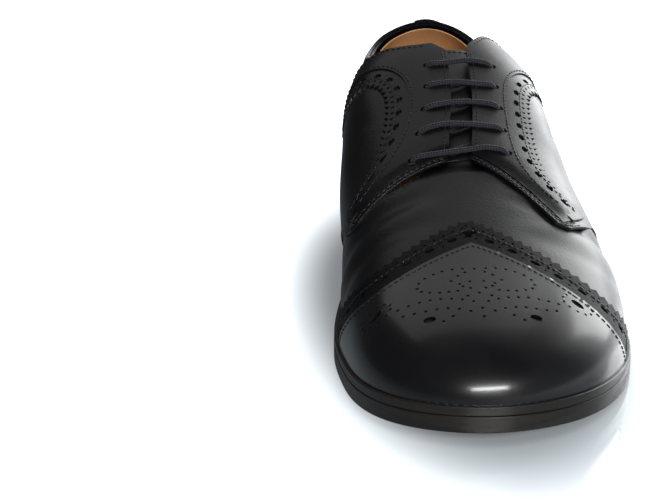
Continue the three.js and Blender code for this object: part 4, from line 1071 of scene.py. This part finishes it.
# ---------------------------------------------------------------- quarters
# Each side is a plain panel with a facing over it. A punched and pinked strip arches round the window
# where the panel shows, from the tab at the front, up round the lace holes and down to the heel.
EYELET_ROWS = 5
FACING_GAP = 8.2
FACING_HOLE = 3.1
OVERLAY_LOW = 2.55
ARCH_STRIP = 8.0
DERBY_LINE = {
    1: [(12, 121), (23, 109.5), (34, 96.5)],
    -1: [(-20, 127), (-34, 123.5), (-47, 121)],
}
TAB_END = {1: (44, 108.5), -1: (-54, 128.5)}
FACING_TOP = {
    1: [(5, 206), (10, 215), (17, 223.5), (28, 229)],
    -1: [(-9, 208.5), (-18, 209.5), (-32, 216.5), (-46, 225.5)],
}
RIM_SIDE = [(236, 86), (248, 83.5), (260, 83)]
RIM_BACK = [(78, 83.5), (62, 85), (46, 87.5), (31, 90.5), (16, 93), (2, 94)]
FRONT_SEAM = {
    1: [(52, 116), (64, 126), (78, 134), (94, 141)],
    -1: [(-62, 139), (-74, 147), (-86, 152), (-98, 156)],
}
ARCH_OUTER = {
    1: [(40, 103.5), (30, 111), (23.5, 119.5), (19, 130), (17, 142), (16.3, 154), (16.3, 166), (17.2, 177),
        (20.5, 188), (27, 197), (38, 205), (52, 211), (68, 216.5), (84, 221), (98, 225)],
    -1: [(-51, 125), (-41, 128.5), (-33, 134.5), (-27, 143), (-23.2, 155), (-21.5, 168), (-22, 181),
         (-26, 192), (-33, 200), (-44, 206), (-58, 211), (-72, 215.5), (-86, 219.5), (-98, 223)],
}
LINING_INSET = {1: 0.1, -1: -0.55}  # the inner side's lining shows as a thin line past its leather
QUARTER_LINING_THICKNESS = 0.6
COUNTER_TOP = [(88, 34), (80, 44), (68, 54), (54, 61), (38, 65), (20, 67), (1, 68)]
FACING_THICKNESS = 1.25
FACING_HIGH = OVERLAY_LOW + FACING_THICKNESS
ARCH_STRIP_THICKNESS = 0.85
SIDES = [(1, "lateral"), (-1, "medial")]


def eyelet_spot(row, side):
    share = row / (EYELET_ROWS - 1)
    return np.array([-3 * (1 - share) + side * (13 + 4.5 * (1 - share) ** 2), 131 + 15 * row])


def facing_front(side, inset):
    across = side * (FACING_GAP / 2 + inset)
    return curve([(across - 3 * (1 - share), y) for share, y in ((0, 130), (0.5, 160), (1, 202))], 1.2)


def round_heel(side, turns, raised=0.0):
    """Pattern points round the back of the heel, from pairs of degrees and heights."""
    degrees, heights = zip(*turns)
    return drop_to([fan_point(HEEL_FAN, 1, side * d) for d in degrees], np.array(heights) + raised)


def topline(side):
    along = drop_to([(side, y) for y, _ in RIM_SIDE], np.array([h for _, h in RIM_SIDE]))
    behind = round_heel(side, RIM_BACK)
    return curve(np.concatenate([FACING_TOP[side], along, behind]), 1.2)


def quarter_outline(side, inset, front_inset):
    rim = topline(side)
    seam = over_last(curve(FRONT_SEAM[side], 1.5))
    bottom = along_feather(side, HEEL_BACK - 0.3, place_of(seam[-1]))
    back = np.array([[side * 0.04, rim[-1][1]], [side * 0.04, bottom[0][1]]])
    start = facing_front(side, inset)
    front = curve([start[0], *DERBY_LINE[side]], 1.2)
    front = np.concatenate([front, curve([DERBY_LINE[side][-1], TAB_END[side]], 1.2)[1:]])
    front = beside(front, -side * front_inset)
    return np.concatenate([start, rim, curve(back, 2), bottom[1:], seam[::-1], front[::-1][:-1]])


def tidy_loop(outline, least=0.15):
    """Drops points that lie on the one before."""
    keep = [outline[0]]
    for point in outline[1:]:
        if np.hypot(*(point - keep[-1])) > least:
            keep.append(point)
    if np.hypot(*(keep[0] - keep[-1])) < least:
        keep.pop()
    return np.array(keep)


def counter_edge(side, clearance):
    edge = round_heel(side, COUNTER_TOP, clearance)
    return curve(np.concatenate([past_feather([(side, 232)]), edge]), 1.5)


for side, name in SIDES:
    barrel_holes = [ring(*eyelet_spot(row, side), 2.6, 12) for row in range(EYELET_ROWS)]
    lining_loop = tidy_loop(quarter_outline(side, 0.3, LINING_INSET[side]))
    lining = cut_piece("quarter_lining_hide_" + name, lining_loop, lasted(0, lining_lift),
                       QUARTER_LINING_THICKNESS, barrel_holes, cell=3)
    dress(lining, tan_hide, "shoe", "tan_lining", "quarter_lining_" + name)
    panel_loop = tidy_loop(quarter_outline(side, 0.3, 3))
    panel = cut_piece("side_panel_leather_" + name, panel_loop, lasted(LEATHER_LOW, quarter_lift),
                      LEATHER_THICKNESS, barrel_holes, cell=2.5)
    dress(panel, calf, "shoe", "black_calf", "side_panel_" + name)

    arch = over_last(curve(ARCH_OUTER[side], 1.0))
    inner = over_last(beside(arch, side * -1.0 * ARCH_STRIP))
    under = over_last(beside(arch, side * 3.0))
    teeth = gimped(inner, 3.5, 1.9, -side)
    strip_loop = tidy_loop(np.concatenate([teeth, under[::-1]]))
    middle = beside(arch, side * -0.48 * ARCH_STRIP)
    strip_cuts = brogue_row(over_last(middle), 8.0, 8, 14, pairs=False)
    strip_cuts += dots_along(over_last(beside(arch, side * -0.83 * ARCH_STRIP)), 3.4, 0.6, 8, 5, 8)
    strip = cut_piece("arch_strip_" + name, strip_loop, lasted(OVERLAY_LOW - 0.2, quarter_lift),
                      ARCH_STRIP_THICKNESS, strip_cuts, cell=1.8, round_edge=0.2)
    dress(strip, calf, "shoe", "black_calf")

    rim = topline(side)
    counter = counter_edge(side, 0.4)
    facing_loop = np.concatenate([
        facing_front(side, 0),
        rim,
        curve([(side * 0.15, rim[-1][1]), (side * 0.15, counter[-1][1])], 2),
        counter[::-1][1:],
        along_feather(side, place_of((side, 231)), place_of(arch[-1]))[1:],
        arch[::-1],
        curve([TAB_END[side] + np.array([-1.0 * side, -1.4]), DERBY_LINE[side][2]], 1.2)[1:],
        curve([*DERBY_LINE[side][::-1], facing_front(side, 0)[0]], 1.2)[1:-1],
    ])
    lace_holes = [ring(*eyelet_spot(row, side), FACING_HOLE / 2, 14) for row in range(EYELET_ROWS)]
    facing = cut_piece("facing_leather_" + name, tidy_loop(facing_loop), lasted(OVERLAY_LOW, facing_lift),
                       FACING_THICKNESS, lace_holes, cell=2.2, round_edge=0.3)
    dress(facing, calf, "shoe", "black_calf", "facing_" + name)

    derby = curve([facing_front(side, 0)[0], *DERBY_LINE[side]], 1.0)
    tab = curve([DERBY_LINE[side][-1], TAB_END[side]], 1.0)
    arch_row = beside(arch, side * 1.3)[3:]
    derby_rows = []
    for inset in (1.5, 3.3):
        row = beside(np.concatenate([derby, tab[1:]]), -side * inset)[2:]
        meets = np.linalg.norm(row[:, None] - arch_row[None], axis=2).min(1) < 1.5
        derby_rows.append(row[:np.argmax(meets)] if meets.any() else row[:-9])
    front_row = beside(facing_front(side, 0), side * -1.7)[2:-2]
    rim_row = beside(rim, side * -1.9)[3:-4]
    sew("facing_stitches_" + name, [*derby_rows, arch_row[5:], rim_row], lasted(FACING_HIGH, facing_lift))
    teeth_row = over_last(beside(arch, side * -0.66 * ARCH_STRIP))[3:]
    sew("strip_stitches_" + name, [teeth_row], lasted(OVERLAY_LOW - 0.2 + ARCH_STRIP_THICKNESS, quarter_lift),
        thread=0.2)
    sew("front_row_stitches_" + name, [front_row], lasted(FACING_HIGH, facing_lift))

# ---------------------------------------------------------------- back strip
# A narrow strip of calf covers the seam up the back, from the counter to the topline.
BACK_STRIP_LOW = OVERLAY_LOW + 1.15
BACK_STRIP_THICKNESS = 1.0
back_top = topline(1)[-1][1]
back_foot = counter_edge(1, 0)[-1][1] + 4
back_middle = (back_top + back_foot) / 2
back_loop = np.concatenate([
    curve([(5.2, back_foot), (4.4, back_middle), (5.6, back_top + 0.5)], 1.5),
    curve([(5.6, back_top + 0.5), (0, back_top - 0.3), (-5.6, back_top + 0.5)], 1.5)[1:-1],
    curve([(-5.6, back_top + 0.5), (-4.4, back_middle), (-5.2, back_foot)], 1.5),
])
back_strip = cut_piece("back_strip", back_loop, lasted(BACK_STRIP_LOW, quarter_lift), BACK_STRIP_THICKNESS,
                       cell=2, round_edge=0.25)
dress(back_strip, calf, "shoe", "black_calf")
back_rows = [
    curve([(x, back_foot - 3), (x * 0.84, back_middle), (x * 1.05, back_top + 2.5)], 1.5) for x in (3.6, -3.6)
]
sew("back_strip_stitches", back_rows, lasted(BACK_STRIP_LOW + BACK_STRIP_THICKNESS, quarter_lift))

# ---------------------------------------------------------------- heel counter and stiffener
# A crescent of calf sewn round the back of the heel, over a moulded stiffener that keeps its shape.
COUNTER_THICKNESS = 1.3
counter_loop = np.concatenate([
    counter_edge(1, 0), counter_edge(-1, 0)[::-1][1:],
    along_feather(-1, place_of((-1, 232)), HEEL_BACK)[1:],
    along_feather(1, HEEL_BACK, place_of((1, 232)))[1:-1],
])
heel_counter = cut_piece("heel_counter_leather", tidy_loop(counter_loop), lasted(OVERLAY_LOW, quarter_lift),
                         COUNTER_THICKNESS, cell=2.5, round_edge=0.3)
dress(heel_counter, calf, "shoe", "black_calf", "heel_counter")
counter_rows = [
    np.concatenate([counter_edge(1, -inset)[2:-1], counter_edge(-1, -inset)[::-1][1:-2]])
    for inset in (1.6, 3.4)
]
sew("counter_stitches", counter_rows, lasted(OVERLAY_LOW + COUNTER_THICKNESS, quarter_lift))
STIFFENER_TOP = [(84, 34), (76, 50), (60, 64), (40, 72), (20, 75), (3, 76)]
stiff_top = {side: curve(round_heel(side, STIFFENER_TOP), 2) for side, _ in SIDES}
stiff_loop = np.concatenate([
    stiff_top[1], stiff_top[-1][::-1],
    along_feather(-1, HEEL_BACK - 84, HEEL_BACK, 3), along_feather(1, HEEL_BACK, HEEL_BACK - 84, 3)[1:],
])
stiffener = cut_piece("heel_stiffener_board", tidy_loop(stiff_loop), lasted(LEATHER_LOW),
                      STIFFENER_THICKNESS, cell=4)
dress(stiffener, board, "shoe", "stiffener_board", "heel_stiffener")

# ---------------------------------------------------------------- lace
# One round waxed cotton lace, braided, with a film tip at each end. It runs straight across the five
# pairs of holes and slants up between rows underneath; its ends are tucked under the facings.
LACE_RADIUS = 1.12
LACE_SIDES = 14
LACE_UNDER = 0.1
TIP_RADIUS = 1.4
TIP_LENGTH = 20
TAIL_START = [(25, 179), (25.5, 170), (25.5, 160), (25, 151), (23, 143), (19.5, 136), (15.9, 132.1)]
TAIL_END = [(-14.6, 191.6), (-17.5, 192.5), (-22, 190), (-25.5, 183), (-26.5, 175)]
BAR_WAVES = [(0.5, -0.5), (-0.7, 0.4), (0.4, 0.6), (-0.5, -0.6), (0.8, 0.3)]


def bar_height(spot):
    return FACING_HIGH + facing_lift(np.array([spot], float))[0] + LACE_RADIUS - 0.12


lace_route = [(x, y, LACE_UNDER) for x, y in TAIL_START]
for row in range(EYELET_ROWS):
    outer_hole, inner_hole = eyelet_spot(row, 1), eyelet_spot(row, -1)
    lace_route += [(*outer_hole, LACE_UNDER + 1.6), (*outer_hole, LACE_UNDER + 4.2)]
    wave, lean = BAR_WAVES[row]
    for share in (0.035, 0.09, 0.25, 0.42, 0.58, 0.75, 0.91, 0.965):
        x, y = outer_hole + (inner_hole - outer_hole) * share
        y += wave * math.sin(2 * math.pi * share) + lean * math.sin(math.pi * share)
        sunk = 0.55 if share in (0.035, 0.965) else 0.0
        lace_route.append((x, y, bar_height((x, y)) - sunk + 0.15 * math.sin(9 * share + row)))
    lace_route += [(*inner_hole, LACE_UNDER + 4.2), (*inner_hole, LACE_UNDER + 1.6)]
    if row < EYELET_ROWS - 1:
        following = eyelet_spot(row + 1, 1)
        for share in (0.08, 0.3, 0.5, 0.7, 0.92):
            lace_route.append((*(inner_hole + (following - inner_hole) * share), LACE_UNDER))
lace_route += [(x, y, LACE_UNDER) for x, y in TAIL_END]
lace_route = np.array(lace_route)
lace_knots = on_last(lace_route[:, :2], lace_route[:, 2])
lace_run = np.concatenate([[0], np.cumsum(np.linalg.norm(np.diff(lace_knots, axis=0), axis=1))])
lace_at = np.arange(0, lace_run[-1], 0.55)
lace_line = np.stack([np.interp(lace_at, lace_run, lace_knots[:, axis]) for axis in range(3)], 1)
for _ in range(5):
    lace_line[1:-1] = (lace_line[:-2] + 2 * lace_line[1:-1] + lace_line[2:]) / 4


def round_cord(name, line, radii, sides):
    """A cord along a line, with its length and turn kept as UVs for the braid."""
    up = np.tile((0.1, 0.35, 0.93), (len(line), 1))
    points = skin_rings(line, up, radii, sides)
    cord = add_mesh(name, points, tube_faces(len(line), sides))
    lengths = np.concatenate([[0], np.cumsum(np.linalg.norm(np.diff(line, axis=0), axis=1))])
    layer = cord.data.uv_layers.new(name="along")
    for face in cord.data.polygons:
        turns = [v % sides for v in face.vertices]
        wraps = max(turns) - min(turns) == sides - 1 and len(turns) == 4
        for loop, turn, vertex in zip(face.loop_indices, turns, face.vertices):
            whole = turn + sides if wraps and turn == 0 else turn
            layer.data[loop].uv = (lengths[vertex // sides], whole / sides)
    return cord


# Braid: two families of strands cross on a grid of length and turn. The same value darkens the lace's colour
# in the dips between strands, a painted shade.
braid = make_group(
    "braid", [("Pitch", "Float", 1.1), ("Strands", "Float", 8.0)], [("Height", "Float"), ("Mask", "Float")])


def figure(operation, first, second):
    """A sum on two values of the braid, each a socket or a number."""
    return grow(braid, "Math", {0: first, 1: second}, operation=operation).outputs[0]


b_in, b_out = braid.nodes.new("NodeGroupInput"), braid.nodes.new("NodeGroupOutput")
b_uv = grow(braid, "UVMap", uv_map="along")
b_axes = grow(braid, "SeparateXYZ", {0: b_uv.outputs["UV"]})
b_along = figure("DIVIDE", b_axes.outputs["X"], b_in.outputs["Pitch"])
b_round = figure("MULTIPLY", b_axes.outputs["Y"], b_in.outputs["Strands"])
b_waves = [
    figure("SINE", figure("MULTIPLY", figure(sign, b_along, b_round), math.pi), 0.0)
    for sign in ("ADD", "SUBTRACT")
]
b_cross = figure("MULTIPLY", *b_waves)
b_lift = grow(braid, "MapRange", {"From Min": -1.0, "From Max": 1.0, "Value": b_cross})
for field in ("Height", "Mask"):
    braid.links.new(b_lift.outputs["Result"], b_out.inputs[field])

waxed_cotton = bpy.data.materials.new("waxed_cotton")
waxed_cotton.use_nodes = True
cotton_tree = waxed_cotton.node_tree
cotton = cotton_tree.nodes["Principled BSDF"]
weave = cotton_tree.nodes.new("ShaderNodeGroup")
weave.node_tree = braid
# Painted shade: the lace's colour is darkest where the braid's strands dip and lightest on their tops.
cotton_colour_groove_shade = grow(cotton_tree, "ValToRGB", {"Fac": weave.outputs["Mask"]})
cotton_colour_groove_shade.color_ramp.elements[0].color = (0.006, 0.006, 0.008, 1)
cotton_colour_groove_shade.color_ramp.elements[1].color = (0.040, 0.037, 0.050, 1)
cotton_relief = grow(cotton_tree, "Bump", {
    "Strength": 0.7, "Distance": 0.0003, "Height": weave.outputs["Height"]})
cotton_tree.links.new(cotton_colour_groove_shade.outputs["Color"], cotton.inputs["Base Color"])
cotton_tree.links.new(cotton_relief.outputs["Normal"], cotton.inputs["Normal"])
cotton.inputs["Roughness"].default_value = 0.62
cotton.inputs["Specular IOR Level"].default_value = 0.3
cotton.inputs["Sheen Weight"].default_value = 0.12
lace = round_cord("lace_cord", lace_line, np.full(len(lace_line), LACE_RADIUS), LACE_SIDES)
dress(lace, waxed_cotton, "shoe", "lace_cotton", "lace")
tip_film = finish_of("tip_film", (0.006, 0.006, 0.007), (0.012, 0.012, 0.014), (0.15, 0.25), 0.05,
                     pores=800.0)
for name, node, end, before in [("lace_tip_1", "aglet_1", 0, 3), ("lace_tip_2", "aglet_2", -1, -4)]:
    along = lace_line[end] - lace_line[before]
    along /= np.linalg.norm(along)
    reach = np.array([0, 0.25, 0.6, 1.2, 4, 8, 12, 16, 18.8, 19.5, 19.9, TIP_LENGTH])
    tip_radii = TIP_RADIUS * np.array([0.9, 0.97, 1, 1, 1, 1, 1, 1, 1, 0.95, 0.8, 0.55])
    tip_line = lace_line[end] + along * (reach + 0.15)[:, None]
    dress(round_cord(name, tip_line, tip_radii, LACE_SIDES), tip_film, "shoe", "aglet_plastic", node)

# ---------------------------------------------------------------- inside the shoe and small hardware
# A tan sock covers the insole from toe to heel. Under it are the leather insole, the cork filler and
# the steel shank; the lace holes have japanned eyelets behind them, and brass nails hold the heel.
sock_outline = offset_feather(lambda y: -(5 - 3.8 * smoothstep(y, 20, 60)))
SOCK_LOW = 12.1
sock = cut_piece("sock_hide", sock_outline, plan_place(SOCK_LOW), LINING_THICKNESS, cell=5)
dress(sock, tan_hide, "shoe", "tan_lining", "sock_liner")
insole_hide = finish_of("insole_hide", (0.36, 0.22, 0.12), (0.5, 0.33, 0.19), (0.6, 0.8), 0.4, pores=900.0)
cork_mix = finish_of("cork_mix", (0.10, 0.05, 0.022), (0.34, 0.19, 0.09), (0.85, 1.0), 0.8,
                     pores=350.0, mottle=500.0)
blued_steel = finish_of("blued_steel", (0.12, 0.13, 0.15), (0.22, 0.23, 0.26), (0.25, 0.45), 0.1,
                        mottle=120.0, metal=1.0)
nail_brass = finish_of("nail_brass", (0.35, 0.22, 0.07), (0.62, 0.42, 0.16), (0.25, 0.5), 0.25,
                       mottle=300.0, metal=1.0)
japanned = finish_of("japanned_metal", (0.006, 0.006, 0.007), (0.02, 0.02, 0.02), (0.25, 0.4), 0.15,
                     coat=0.3, metal=0.3)
looks = {"insole": insole_hide, "cork_filler": cork_mix, "shank": blued_steel}
looks.update({f"heel_nail_{i}": nail_brass for i in range(1, 6)})
looks.update({f"eyelet_{name}_{row}": japanned for _, name in SIDES for row in range(1, EYELET_ROWS + 1)})
for node, look in looks.items():
    for material_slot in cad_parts[node].material_slots:
        material_slot.material = look
